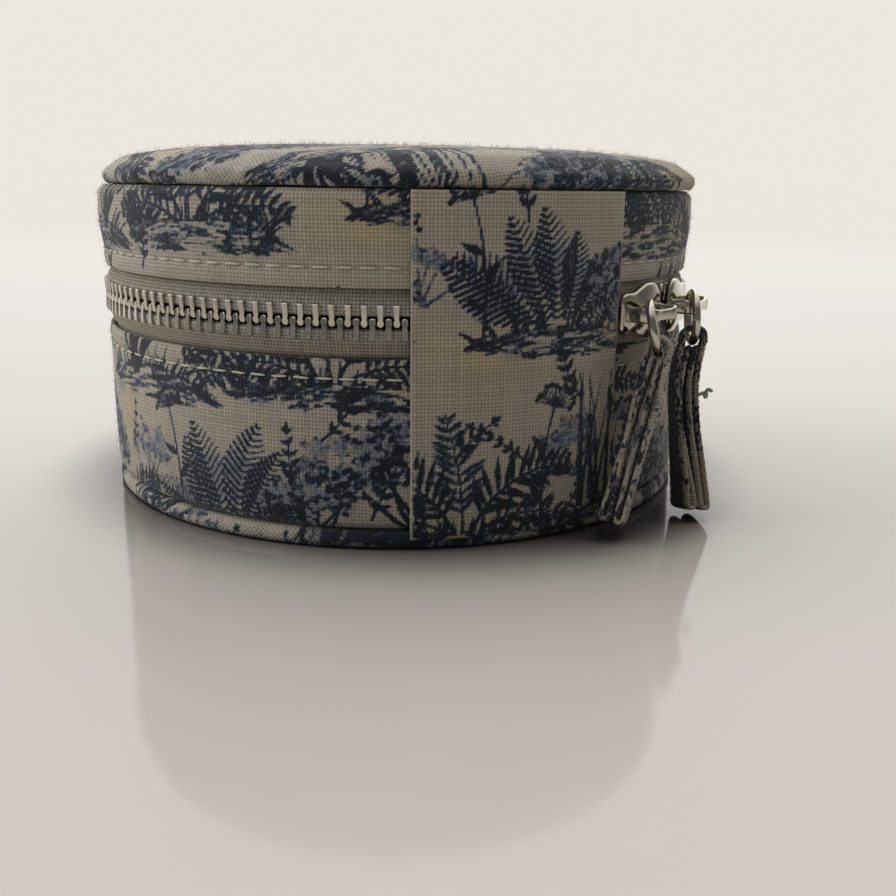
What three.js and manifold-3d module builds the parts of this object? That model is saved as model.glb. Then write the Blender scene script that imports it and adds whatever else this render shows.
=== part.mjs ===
// Round zip-round jewellery case: a stiff drum covered in printed cloth, opening on a cloth hinge.
// Millimetres, +Z up, origin at the centre of the resting face, front towards -Y, hinge towards +Y.
// Angles run in degrees round the drum from the front (0), through +X (90), to the hinge (180).
import * as THREE from 'three';
import { mergeVertices } from 'three/addons/utils/BufferGeometryUtils.js';
import Module from 'manifold-3d';

const wasm = await Module();
wasm.setup();

// Drum
const caseRadius = 50;
const bottomSeam = 2.6;
const topSeam = 49;
const bandSwell = 0.2;
const bandTurn = 0.1;
const bandFullest = 0.45;
const bandCloth = 0.75;
const bandWadding = 0.75;
const panelCloth = 0.9;
const seamGap = 0.3;
const seatGap = 0.3;

// Rolled foot of the bottom panel
const footWidth = 2.2;
const footSquareness = 2;

// Crown of the top panel: its rise, how far it falls to the rim, and the bead that overhangs the wall
const crownRise = 6.5;
const crownFall = 3.9;
const crownSquareness = 3.2;
const rimOverhang = 0.1;
const rimBead = 1.25;
const rimInset = 1.2;

// Zip opening between the two bands, and how far the tape is sewn in behind each band
const zipCentre = 31.7;
const zipOpening = 9.4;
const zipSag = 0.2;
const tapeSewnIn = 5.1;

// Boards, pads and lining
const boardThickness = 0.8;
const boardSetback = 2.7;
const discBoard = 1.2;
const floorPad = 2.4;
const liningCloth = 0.7;
const liningLip = 1.1;

// Cloth hinge panel
const hingeAngle = 180;
const hingeHalfAngle = 18.3;
const hingeTuckAngle = 3;
const hingeLap = 0.15;
const hingeHem = 0.6;
const hingeFoot = 1.5;
const hingeCoreLap = 0.2;

// Zip chain
const chainSetback = 0.4;
const toothPitch = 2.13;
const toothLeg = 2.36;
const toothReach = 0.64;
const headAway = -0.05;
const legWidth = 0.8;
const headWidth = 0.92;
const tipWidth = 0.5;
const legDepth = 1.7;
const headDepth = 1.5;
const tipDepth = 1.1;
const beadDepth = 0.8;
const beadNear = 0.85;
const beadFar = 2.2;
const tapeThickness = 0.44;
const chainParting = 1.24;
const partingBehind = 1.4;
const partingAhead = 2;

// Sliders
const sliderLength = 10.4;
const sliderShoulder = 4.2;
const sliderTail = 3;
const tailRound = 1;
const flareStart = -1.9;
const flareEnd = 1.2;
const noseWidth = 1.7;
const sliderPlate = 0.7;
const plateBevel = 0.15;
const frontFlange = 0.7;
const backFlange = 0.2;
const channelHalfDepth = 1.2;
const channelSlack = 0.12;
const channelLead = 0.6;
const postHalfWidth = 0.42;
const postEdge = 0.1;
const postStart = 2.6;
const postEnd = 4.4;
const strapWidth = 1.6;
const strapEndWidth = 2.1;
const strapMiddle = 4.4;
const strapRise = 3.8;
const strapThickness = 0.7;
const strapHalfLength = 4.1;
const sliderHingeGap = 0.167;
const sliderHeadGap = 2.758;

// Pull rings: yaw is measured from the radial plane, tilt from the vertical
const ringRadius = 3.7;
const ringWire = 1.3;
const ringADrop = 1.75;
const ringBDrop = 1.6;
const ringAYaw = 59;
const ringBYaw = 66;
const ringATilt = 14;
const ringBTilt = 3;
const ringAOffset = 0.8;
const ringBOffset = 0.6;
const ringStandOff = 1.15;

// Pull tabs: one folded strip, four plies thick, looped over the ring's lower wire
const tabLength = 25.3;
const tabWidth = 6.5;
const tabNeck = 4.2;
const tabPly = 0.92;
const tabPlyGap = 0.14;
const tabLoopRise = 0.62;
const tabInnerStart = 1.7;
const tabSpread = 0.6;
const tabALean = 14;
const tabBLean = 14;
const tabAFold = 25;
const tabBFold = 4;

// Inside the tray and the lid
const rollCount = 3;
const rollGap = 0.6;
const rollFrontSpace = 6.5;
const rollEnd = 4;
const rollEndRadius = 3.3;
const dividerThickness = 2;
const dividerPosition = -5;
const dividerHeight = 15;
const pocketDepth = 1.6;
const pocketMouth = 2;
const pocketHem = 1.2;
const pocketHemInset = 1.5;

// Facets
const roundSegments = 48;
const hiddenSegments = 32;
const rollSides = 16;
const ringSides = 8;
const ringSegments = 26;
const sliderStretchSteps = 17;

// Sizes that follow
const degree = Math.PI / 180;
const chainRadius = caseRadius - chainSetback;
const crownTop = topSeam + crownRise;
const lowerEdge = zipCentre - zipSag - zipOpening / 2;
const upperEdge = lowerEdge + zipOpening;
const bandInner = caseRadius - bandCloth;
const waddingInner = bandInner - bandWadding;
const boardOuter = waddingInner - seatGap;
const boardInner = boardOuter - boardThickness;
const liningOuter = boardInner - seatGap;
const liningInner = liningOuter - liningCloth;
const tapeRadius = (boardOuter + bandInner) / 2;
const lowerBoardTop = lowerEdge - boardSetback;
const upperBoardBottom = upperEdge + boardSetback;
const bottomPanelTop = bottomSeam - seamGap / 2;
const bottomBoardBase = bottomPanelTop + seatGap;
const bottomBoardTop = bottomBoardBase + discBoard;
const floorPadBase = bottomBoardTop + seatGap;
const floorPadTop = floorPadBase + floorPad;
const trayFloor = floorPadTop + seatGap + liningCloth;
const trayRim = lowerBoardTop + seatGap + liningLip;
const lidRim = upperBoardBottom - seatGap - liningLip;
const panelLip = topSeam + seamGap / 2;
const lidBoardTop = panelLip - seamGap / 2;
const lidBoardBase = lidBoardTop - discBoard;
const lidCeiling = lidBoardBase - seatGap - liningCloth;
const hingeSkinInner = caseRadius + bandSwell + hingeLap;
const hingeOuter = hingeSkinInner + hingeHem;
const bandEndAngle = hingeHalfAngle - hingeTuckAngle;
const gapAngle = seatGap / chainRadius / degree;
const pitchAngle = toothPitch / chainRadius / degree;
const chainStart = hingeAngle + hingeHalfAngle + gapAngle;
const chainEnd = hingeAngle + 360 - hingeHalfAngle - gapAngle;
const toothCount = Math.floor((chainEnd - chainStart) / pitchAngle - 0.5);
const sliderAAngle = hingeAngle + hingeHalfAngle + (sliderLength / 2 + sliderHingeGap) / chainRadius / degree;
const sliderBAngle = sliderAAngle + (sliderLength + sliderHeadGap) / chainRadius / degree;
const rollsStart = dividerPosition - dividerThickness / 2 - seatGap;
const rollsSpan = liningInner + rollsStart - rollFrontSpace;
const rollRadius = (rollsSpan - (rollCount - 1) * rollGap) / rollCount / 2;
const lipInner = caseRadius - panelCloth - seatGap;
const frontPlateInner = chainRadius + channelHalfDepth;
const frontPlateOuter = frontPlateInner + sliderPlate;

// Materials
const cloth = (name, color) => new THREE.MeshStandardMaterial({ name, color, roughness: 0.92, metalness: 0 });
const printedCanvas = cloth('printed_canvas', 0x8d8f96);
const greigeTape = cloth('zip_tape', 0x98938a);
const linen = cloth('lining_cloth', 0xb9b2a4);
const velvet = cloth('ring_roll_velvet', 0x5b6475);
const foam = cloth('foam', 0xe8e4d8);
const greyBoard = cloth('greyboard', 0xa39c8f);
const nickel = cloth('nickel', 0xc9c7c0);
nickel.roughness = 0.22;
nickel.metalness = 1;

const group = new THREE.Group();

function add(name, geometry, material, parent = group) {
  const mesh = new THREE.Mesh(geometry, material);
  mesh.name = name;
  parent.add(mesh);
  return mesh;
}

// Geometry helpers

function bare(geometry) {
  const plain = geometry.index ? geometry.clone() : mergeVertices(geometry, 1e-4);
  plain.deleteAttribute('normal');
  plain.deleteAttribute('uv');
  return mergeVertices(plain, 1e-4);
}

function fromArrays(points, triangles) {
  const geometry = new THREE.BufferGeometry();
  geometry.setAttribute('position', new THREE.Float32BufferAttribute(points.flat(), 3));
  geometry.setIndex(triangles.flat());
  return geometry;
}

function solid(geometry) {
  const plain = bare(geometry);
  return new wasm.Manifold(new wasm.Mesh({
    numProp: 3,
    vertProperties: new Float32Array(plain.attributes.position.array),
    triVerts: new Uint32Array(plain.index.array),
  }));
}

function geometryOf(body) {
  const mesh = body.getMesh();
  const geometry = new THREE.BufferGeometry();
  geometry.setAttribute('position', new THREE.BufferAttribute(new Float32Array(mesh.vertProperties), 3));
  geometry.setIndex(Array.from(mesh.triVerts));
  return geometry;
}

// A point of the wall: angle round the drum, radius and height
function onWall(angle, radius, height) {
  return [radius * Math.sin(angle * degree), -radius * Math.cos(angle * degree), height];
}

function smoothStep(t) {
  const s = Math.min(1, Math.max(0, t));
  return s * s * (3 - 2 * s);
}

// A full turn of a profile given as [radius, height], bottom first
function turned(profile, segments) {
  const points = profile.map(([radius, height]) => new THREE.Vector2(radius, height));
  return bare(new THREE.LatheGeometry(points, segments).rotateX(Math.PI / 2));
}

// A strip round the wall with two ends: its section, [radius, height] anticlockwise, may change with the angle
function wallStrip(section, angles) {
  const triangles = [];
  const count = section(angles[0]).length;
  const ringOf = (angle) => section(angle).map(([radius, height]) => onWall(angle, radius, height));
  const points = angles.flatMap(ringOf);
  for (let i = 0; i + 1 < angles.length; i += 1) {
    for (let j = 0; j < count; j += 1) {
      const a = i * count + j;
      const d = i * count + (j + 1) % count;
      const b = a + count;
      const c = d + count;
      triangles.push([a, b, d], [c, d, b]);
    }
  }
  const last = (angles.length - 1) * count;
  const capOf = (angle) => {
    const outline = section(angle).map(([radius, height]) => new THREE.Vector2(radius, height));
    return THREE.ShapeUtils.triangulateShape(outline, []);
  };
  capOf(angles[0]).forEach(([a, b, c]) => triangles.push([a, b, c]));
  capOf(angles.at(-1)).forEach(([a, b, c]) => triangles.push([last + a, last + c, last + b]));
  return fromArrays(points, triangles);
}

function evenAngles(from, to, steps) {
  return Array.from({ length: steps + 1 }, (_, i) => from + (to - from) * i / steps);
}

// An outline of [x, y] points pushed out along z
function pushed(outline, depth, bevel = 0) {
  const shape = new THREE.Shape(outline.map(([x, y]) => new THREE.Vector2(x, y)));
  const options = {
    depth: depth - 2 * bevel,
    bevelEnabled: bevel > 0,
    bevelThickness: bevel,
    bevelSize: bevel,
    bevelOffset: -bevel,
    bevelSegments: 1,
  };
  return new THREE.ExtrudeGeometry(shape, options).translate(0, 0, bevel);
}

function arc(centreX, centreY, radius, from, to, steps) {
  return evenAngles(from, to, steps).map((angle) => [
    centreX + radius * Math.cos(angle * degree),
    centreY + radius * Math.sin(angle * degree),
  ]);
}

// A quarter round from one point to another, leaving the first level and reaching the second upright
function rounding([fromX, fromY], [toX, toY], steps, squareness = 2) {
  return evenAngles(0, 90, steps).map((angle) => [
    fromX + (toX - fromX) * Math.sin(angle * degree) ** (2 / squareness),
    fromY + (toY - fromY) * (1 - Math.max(0, Math.cos(angle * degree)) ** (2 / squareness)),
  ]);
}

// Base: the tray

function baseBottomPanel() {
  const rim = caseRadius - seamGap;
  const foot = rounding([rim - footWidth, 0], [rim, bottomPanelTop], 4, footSquareness);
  return turned([[0, 0], ...foot, [0, bottomPanelTop]], roundSegments);
}

function disc(radius, from, to) {
  return turned([[0, from], [radius, from], [radius, to], [0, to]], hiddenSegments);
}

function sideBoard(from, to) {
  return turned([
    [boardInner, from],
    [boardOuter, from],
    [boardOuter, to],
    [boardInner, to],
    [boardInner, from],
  ], hiddenSegments);
}

// The cloth bands run round from one side of the hinge panel to the other, tucked in behind its edges
function bandAngles() {
  const steps = Math.round(roundSegments * (360 - 2 * bandEndAngle) / 360);
  return evenAngles(hingeAngle + bandEndAngle, hingeAngle + 360 - bandEndAngle, steps);
}

function band(zipEdge, seamEdge) {
  const up = Math.sign(seamEdge - zipEdge);
  const tapeEdge = zipEdge + up * (tapeSewnIn + 2 * seatGap);
  const outline = [
    [bandInner, zipEdge],
    [caseRadius - bandTurn, zipEdge],
    [caseRadius + bandSwell, zipEdge + (seamEdge - zipEdge) * bandFullest],
    [caseRadius - bandTurn, seamEdge],
    [waddingInner, seamEdge],
    [waddingInner, tapeEdge],
    [bandInner, tapeEdge],
  ];
  const section = up > 0 ? outline : outline.reverse();
  return wallStrip(() => section, bandAngles());
}

function baseLining() {
  return turned([
    [0, trayFloor - liningCloth],
    [liningOuter, trayFloor - liningCloth],
    [liningOuter, trayRim - liningLip],
    [boardOuter, trayRim - liningLip],
    [boardOuter, trayRim],
    [liningInner, trayRim],
    [liningInner, trayFloor],
    [0, trayFloor],
  ], hiddenSegments);
}

// A stuffed roll lying across the tray, its ends drawn in where they are sewn to the lining
function ringRoll(index) {
  const centre = rollsStart - rollRadius - index * (2 * rollRadius + rollGap);
  const reach = liningInner - seatGap;
  const halfLength = Math.sqrt(reach ** 2 - (Math.abs(centre) + rollRadius) ** 2);
  const end = rounding([rollEndRadius, -halfLength], [rollRadius, rollEnd - halfLength], 3);
  const farEnd = end.map(([radius, along]) => [radius, -along]).reverse();
  const profile = [[0, -halfLength], ...end, ...farEnd, [0, halfLength]];
  const points = profile.map(([x, y]) => new THREE.Vector2(x, y));
  const roll = bare(new THREE.LatheGeometry(points, rollSides).rotateZ(-Math.PI / 2));
  return roll.translate(0, centre, trayFloor + seatGap + rollRadius);
}

function divider() {
  const far = Math.abs(dividerPosition) + dividerThickness / 2;
  const halfLength = Math.sqrt((liningInner - seatGap) ** 2 - far ** 2);
  const wall = new THREE.BoxGeometry(2 * halfLength, dividerThickness, dividerHeight);
  return bare(wall.translate(0, dividerPosition, trayFloor + seatGap + dividerHeight / 2));
}

// Lid

// Points of the crown from the middle out to a radius, sunk below its top face
function crownLine(reach, sunk, shares) {
  return shares.map((share) => {
    const radius = reach * share;
    return [radius, crownTop - sunk - crownFall * (radius / caseRadius) ** crownSquareness];
  });
}

function lidTopPanel() {
  const beadCentre = caseRadius + rimOverhang - rimBead;
  return turned([
    ...crownLine(lipInner - rimInset, panelCloth, [0, 0.5, 0.8, 1]),
    [lipInner, panelLip],
    ...arc(beadCentre, panelLip + rimBead, rimBead, -90, 70, 5),
    ...crownLine(beadCentre - rimInset, 0, [1, 0.92, 0.8, 0.62, 0.4, 0]),
  ], roundSegments);
}

function lidFoamPad() {
  return turned([
    [0, lidBoardTop + seatGap],
    [lipInner - 2 * seatGap, lidBoardTop + seatGap],
    ...crownLine(lipInner - rimInset - 2 * seatGap, panelCloth + seatGap, [1, 0.8, 0.5, 0]),
  ], hiddenSegments);
}

function lidLining() {
  return turned([
    [0, lidCeiling],
    [liningInner, lidCeiling],
    [liningInner, lidRim],
    [boardOuter, lidRim],
    [boardOuter, lidRim + liningLip],
    [liningOuter, lidRim + liningLip],
    [liningOuter, lidCeiling + liningCloth],
    [0, lidCeiling + liningCloth],
  ], hiddenSegments);
}

// Gathered pocket over the hinge half of the lid's ceiling, with a thicker elastic mouth
function lidPocket() {
  const radius = liningInner - seatGap;
  const edge = Math.asin(pocketMouth / radius) / degree;
  const flat = pushed(arc(0, 0, radius, edge, 180 - edge, 18), pocketDepth);
  const hemLength = 2 * (radius * Math.cos(edge * degree) - pocketHemInset);
  const mouth = new THREE.CylinderGeometry(pocketHem, pocketHem, hemLength, 8);
  mouth.rotateZ(Math.PI / 2).translate(0, pocketMouth + pocketHem, pocketDepth - pocketHem);
  const body = solid(flat).add(solid(mouth));
  return geometryOf(body).translate(0, 0, lidCeiling - seatGap - pocketDepth);
}

// Hinge

// A sector of the wall by the hinge, from one radius to another and one height to another
function hingeSector(halfAngle, inner, outer, from, to) {
  const middle = hingeAngle - 90;
  const outerArc = arc(0, 0, outer, middle - halfAngle, middle + halfAngle, 8);
  const innerArc = arc(0, 0, inner, middle + halfAngle, middle - halfAngle, 8);
  return bare(pushed([...outerArc, ...innerArc], to - from).translate(0, 0, from));
}

// The outer skin laps over the band ends, and a thicker core fills the space between them
function hingePanel() {
  const top = topSeam - seamGap / 2;
  const skin = hingeSector(hingeHalfAngle, hingeSkinInner, hingeOuter, hingeFoot, top);
  const coreOuter = hingeSkinInner + hingeCoreLap;
  const core = hingeSector(bandEndAngle - gapAngle, bandInner, coreOuter, bottomPanelTop + seamGap, top);
  return geometryOf(solid(skin).add(solid(core)));
}

function hingeLining() {
  return hingeSector(bandEndAngle, boardInner, boardOuter, trayRim + seatGap, lidRim - seatGap);
}

// Zip

// How far each row is pushed away from the middle: nothing outside the sliders, all of it between their heads
function parting(angle) {
  const alongA = (angle - sliderAAngle) * degree * chainRadius;
  const alongB = (sliderBAngle - angle) * degree * chainRadius;
  const ramp = (along) => smoothStep((along + partingBehind) / (partingBehind + partingAhead));
  return chainParting * Math.min(ramp(alongA), ramp(alongB));
}

function tapeAngles() {
  const start = hingeAngle + bandEndAngle;
  const end = hingeAngle + 360 - bandEndAngle;
  const pastSliders = sliderBAngle + sliderLength / 2 / chainRadius / degree;
  const near = evenAngles(start, pastSliders, sliderStretchSteps);
  const far = evenAngles(pastSliders, end, Math.round(roundSegments * (end - pastSliders) / 360));
  return [...near, ...far.slice(1)];
}

// The tape lies flat behind the band and bellies out to the teeth
function zipTape(side) {
  const bandEdge = side < 0 ? zipCentre - lowerEdge : upperEdge - zipCentre;
  const half = tapeThickness / 2;
  const section = (angle) => {
    const free = toothLeg + seatGap + parting(angle);
    const centreLine = [
      [tapeRadius, bandEdge + tapeSewnIn],
      [tapeRadius, bandEdge - bandTurn],
      [chainRadius, free],
    ];
    const front = centreLine.map(([radius, away]) => [radius + half, zipCentre + side * away]);
    const back = centreLine.map(([radius, away]) => [radius - half, zipCentre + side * away]).reverse();
    const loop = [...front, ...back];
    return side < 0 ? loop : loop.reverse();
  };
  return wallStrip(section, tapeAngles());
}

// One row of the chain: a woven bead with a metal tooth clamped round it at every pitch
function toothRow(side) {
  const points = [];
  const triangles = [];
  const place = (angle, along, radius, away) => {
    const here = angle + along / chainRadius / degree;
    points.push(onWall(here, radius, zipCentre + side * (away + parting(angle))));
    return points.length - 1;
  };
  const beadRing = (angle, along) => [
    place(angle, along, chainRadius, beadFar),
    place(angle, along, chainRadius - beadDepth / 2, beadNear),
    place(angle, along, chainRadius + beadDepth / 2, beadNear),
  ];
  const toothRing = (angle, way) => [
    place(angle, way * legWidth / 2, chainRadius - legDepth / 2, toothLeg),
    place(angle, way * headWidth / 2, chainRadius - headDepth / 2, headAway),
    place(angle, way * tipWidth / 2, chainRadius - tipDepth / 2, -toothReach),
    place(angle, way * tipWidth / 2, chainRadius + tipDepth / 2, -toothReach),
    place(angle, way * headWidth / 2, chainRadius + headDepth / 2, headAway),
    place(angle, way * legWidth / 2, chainRadius + legDepth / 2, toothLeg),
  ];
  const stitch = (near, far) => {
    const count = near.length;
    for (let j = 0; j < count; j += 1) {
      const next = (j + 1) % count;
      triangles.push([near[j], near[next], far[j]], [far[next], far[j], near[next]]);
    }
  };
  // The flat flank of a tooth, from the bead's three corners out to the tooth's six
  const flank = (bead, tooth, way) => {
    const faces = [
      [tooth[5], tooth[0], bead[0]],
      [tooth[0], bead[1], bead[0]],
      [tooth[0], tooth[1], bead[1]],
      [tooth[1], tooth[2], bead[1]],
      [tooth[2], bead[2], bead[1]],
      [tooth[2], tooth[3], bead[2]],
      [tooth[3], tooth[4], bead[2]],
      [tooth[4], tooth[5], bead[2]],
      [tooth[5], bead[0], bead[2]],
    ];
    faces.forEach(([a, b, c]) => triangles.push(way < 0 ? [a, c, b] : [a, b, c]));
  };
  const shift = side < 0 ? 0 : 0.5;
  const lastAngle = chainEnd - (legWidth / 2 / chainRadius) / degree - shift * pitchAngle;
  let lastBead = null;
  for (let k = 0; k < toothCount; k += 1) {
    const angle = lastAngle - (toothCount - 1 - k) * pitchAngle;
    const bead = [beadRing(angle, -legWidth / 2), beadRing(angle, legWidth / 2)];
    const tooth = [toothRing(angle, -1), toothRing(angle, 1)];
    if (lastBead) {
      stitch(lastBead, bead[0]);
      flank(bead[0], tooth[0], -1);
    } else {
      triangles.push(
        [tooth[0][0], tooth[0][5], tooth[0][1]],
        [tooth[0][5], tooth[0][4], tooth[0][1]],
        [tooth[0][1], tooth[0][4], tooth[0][2]],
        [tooth[0][4], tooth[0][3], tooth[0][2]],
      );
    }
    stitch(tooth[0], tooth[1]);
    if (k === toothCount - 1) {
      triangles.push(
        [tooth[1][5], tooth[1][0], tooth[1][1]],
        [tooth[1][4], tooth[1][5], tooth[1][1]],
        [tooth[1][4], tooth[1][1], tooth[1][2]],
        [tooth[1][3], tooth[1][4], tooth[1][2]],
      );
    } else {
      flank(bead[1], tooth[1], 1);
    }
    lastBead = bead[1];
  }
  const wound = side < 0 ? triangles : triangles.map(([a, b, c]) => [a, c, b]);
  return bare(fromArrays(points, wound));
}

// Slider, in a frame of its own: x along the chain towards the head, y up the wall, z outwards from the axis

const chordSag = sliderLength ** 2 / (16 * chainRadius);

// A half outline with y above 0, mirrored below
function mirrored(half) {
  return [...half, ...half.map(([x, y]) => [x, -y]).reverse()];
}

// Round corners at the tail, sides that flare to the shoulders, and a nose like a shield's point
function sliderShield() {
  const end = sliderLength / 2;
  const nose = rounding([postStart, sliderShoulder], [end, noseWidth / 2], 3);
  return mirrored([
    ...arc(tailRound - end, sliderTail - tailRound, tailRound, 180, 90, 2),
    [flareStart, sliderTail],
    [flareEnd, sliderShoulder],
    ...nose,
  ]);
}

// The Y-shaped way through: narrow at the tail, wide at the shoulders, open past the post
function sliderChannel() {
  const closed = toothLeg + channelSlack;
  const parted = closed + chainParting;
  const far = sliderLength;
  return mirrored([
    [-far, closed],
    [-partingBehind - channelLead, closed],
    [partingAhead - channelLead, parted],
    [postStart, parted],
    [postStart, far],
    [far, far],
  ]);
}

function archOutline() {
  const bend = strapRise / 2;
  const rise = strapRise;
  const reach = strapHalfLength - bend;
  const inner = bend - strapThickness;
  return [
    [-strapHalfLength, -sliderPlate / 2],
    ...arc(-reach, rise - bend, bend, 180, 90, 4),
    ...arc(reach, rise - bend, bend, 90, 0, 4),
    [strapHalfLength, -sliderPlate / 2],
    [strapHalfLength - strapThickness, -sliderPlate / 2],
    ...arc(reach, rise - bend, inner, 0, 90, 4),
    ...arc(-reach, rise - bend, inner, 90, 180, 4),
    [strapThickness - strapHalfLength, -sliderPlate / 2],
  ];
}

function sliderStrap() {
  const arch = pushed(archOutline(), strapWidth).rotateX(Math.PI / 2).translate(0, strapWidth / 2, 0);
  const plan = pushed(mirrored([
    [-strapHalfLength - strapThickness, strapEndWidth / 2],
    [-strapMiddle / 2, strapWidth / 2],
    [strapMiddle / 2, strapWidth / 2],
    [strapHalfLength + strapThickness, strapEndWidth / 2],
  ]), strapRise + 2 * sliderPlate).translate(0, 0, -sliderPlate);
  return solid(arch).intersect(solid(plan)).translate([0, 0, frontPlateOuter]);
}

function sliderBody() {
  const slotFront = frontPlateInner - frontFlange;
  const backPlateInner = chainRadius - channelHalfDepth;
  const front = pushed(sliderShield(), frontPlateOuter - slotFront, plateBevel).translate(0, 0, slotFront);
  const back = pushed(sliderShield(), sliderPlate + backFlange).translate(0, 0, backPlateInner - sliderPlate);
  const channel = pushed(sliderChannel(), 2 * channelHalfDepth).translate(0, 0, backPlateInner);
  const middle = (postStart + postEnd) / 2;
  const lens = mirrored([[postStart, postEdge], [middle, postHalfWidth], [postEnd, postEdge]]);
  const postBase = backPlateInner - sliderPlate / 2;
  const post = pushed(lens, 2 * channelHalfDepth + sliderPlate).translate(0, 0, postBase);
  const shell = solid(front).add(solid(back)).subtract(solid(channel));
  const whole = shell.add(solid(post)).add(sliderStrap());
  return geometryOf(whole).translate(0, 0, -chordSag);
}

function pullRing() {
  return bare(new THREE.TorusGeometry(ringRadius, ringWire / 2, ringSides, ringSegments));
}

// The folded strip seen edge-on: x across the plies, y up, the wire at the origin.
// It starts below the ring, runs down, turns up, goes over the wire, down, turns, and ends below the ring.
function tabOutline() {
  const half = tabPly / 2;
  const step = (tabPly + tabPlyGap) / 2;
  const outer = 3 * step;
  const turn = -(tabLength - half - step);
  const side = [
    [step - half, -tabInnerStart],
    ...arc(2 * step, turn, step + half, 180, 360, 6),
  ];
  const over = arc(0, tabLoopRise, outer + half, 0, 180, 10);
  const under = arc(0, tabLoopRise, outer - half, 180, 0, 8);
  const flip = (points) => points.map(([x, y]) => [-x, y]).reverse();
  const inside = [
    ...arc(2 * step, turn, step - half, 360, 180, 2),
    [step + half, -tabInnerStart],
  ];
  return [...side, ...over, ...flip(side), ...flip(inside), ...under, ...inside];
}

// In the tab's own frame x runs along the wire, y up the tab and z across the plies
function pullTab() {
  const strip = pushed(tabOutline(), tabWidth).rotateY(Math.PI / 2).translate(-tabWidth / 2, 0, 0);
  const top = tabLoopRise + 3 * tabPly;
  const cutWidth = tabWidth / 2 + tabPly;
  const spread = (cutWidth - tabNeck / 2) * (tabInnerStart + tabSpread) / (tabWidth / 2 - tabNeck / 2);
  const neck = pushed([
    [-tabNeck / 2, top],
    [-tabNeck / 2, 0],
    [-cutWidth, -spread],
    [-cutWidth, -tabLength - tabPly],
    [cutWidth, -tabLength - tabPly],
    [cutWidth, -spread],
    [tabNeck / 2, 0],
    [tabNeck / 2, top],
  ], 8 * tabPly).translate(0, 0, -4 * tabPly);
  return geometryOf(solid(strip).intersect(solid(neck)));
}

// A frame on the wall at the zip's height: x round the drum, y up, z outwards
function wallFrame(angle) {
  const frame = new THREE.Group();
  const around = new THREE.Vector3(Math.cos(angle * degree), Math.sin(angle * degree), 0);
  const outwards = new THREE.Vector3(Math.sin(angle * degree), -Math.cos(angle * degree), 0);
  const basis = new THREE.Matrix4().makeBasis(around, new THREE.Vector3(0, 0, 1), outwards);
  frame.quaternion.setFromRotationMatrix(basis);
  frame.position.set(0, 0, zipCentre);
  group.add(frame);
  return frame;
}

// A slider with its ring through the strap's eye and its tab looped over the ring
function sliderSet(letter, at) {
  const frame = wallFrame(at.angle);
  const body = add(`slider_${letter}_body`, sliderBody(), nickel, frame);
  body.rotation.z = at.headOn > 0 ? 0 : Math.PI;
  const ring = new THREE.Group();
  ring.rotation.set(at.tilt * degree, -(90 + at.yaw) * degree, 0, 'YXZ');
  ring.position.set(
    at.offset - ringRadius * Math.sin(at.yaw * degree),
    -at.drop,
    frontPlateOuter + ringStandOff + ringRadius * Math.cos(at.yaw * degree),
  );
  frame.add(ring);
  add(`pull_ring_${letter}`, pullRing(), nickel, ring);
  const tab = new THREE.Group();
  tab.rotation.set(-at.fold * degree, 0, at.lean * degree, 'ZXY');
  tab.position.set(ringRadius * Math.sin(at.lean * degree), -ringRadius * Math.cos(at.lean * degree), 0);
  ring.add(tab);
  add(`pull_tab_${letter}`, pullTab(), printedCanvas, tab);
}

// Assembly

add('base_bottom_panel', baseBottomPanel(), printedCanvas);
add('base_bottom_board', disc(liningOuter, bottomBoardBase, bottomBoardTop), greyBoard);
add('base_side_board', sideBoard(bottomBoardBase, lowerBoardTop), greyBoard);
add('base_side_band', band(lowerEdge, bottomPanelTop + seamGap), printedCanvas);
add('base_floor_pad', disc(liningOuter - seatGap, floorPadBase, floorPadTop), foam);
add('base_lining', baseLining(), linen);
add('tray_divider', divider(), linen);
for (let i = 0; i < rollCount; i += 1) {
  add(`ring_roll_${i + 1}`, ringRoll(i), velvet);
}
add('lid_top_panel', lidTopPanel(), printedCanvas);
add('lid_foam_pad', lidFoamPad(), foam);
add('lid_board', disc(boardOuter, lidBoardBase, lidBoardTop), greyBoard);
add('lid_side_board', sideBoard(upperBoardBottom, lidBoardBase - seatGap), greyBoard);
add('lid_side_band', band(upperEdge, topSeam - seamGap / 2), printedCanvas);
add('lid_lining', lidLining(), linen);
add('lid_pocket', lidPocket(), linen);
add('hinge_panel', hingePanel(), printedCanvas);
add('hinge_lining', hingeLining(), linen);
add('zip_tape_lower', zipTape(-1), greigeTape);
add('zip_tape_upper', zipTape(1), greigeTape);
add('zip_teeth_lower', toothRow(-1), nickel);
add('zip_teeth_upper', toothRow(1), nickel);
sliderSet('a', {
  angle: sliderAAngle,
  headOn: 1,
  offset: ringAOffset,
  drop: ringADrop,
  yaw: ringAYaw,
  tilt: ringATilt,
  lean: tabALean,
  fold: tabAFold,
});
sliderSet('b', {
  angle: sliderBAngle,
  headOn: -1,
  offset: ringBOffset,
  drop: ringBDrop,
  yaw: ringBYaw,
  tilt: ringBTilt,
  lean: tabBLean,
  fold: tabBFold,
});

export default group;
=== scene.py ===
import math
import bmesh
import bpy
import numpy as np
from mathutils import Matrix, Vector


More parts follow.
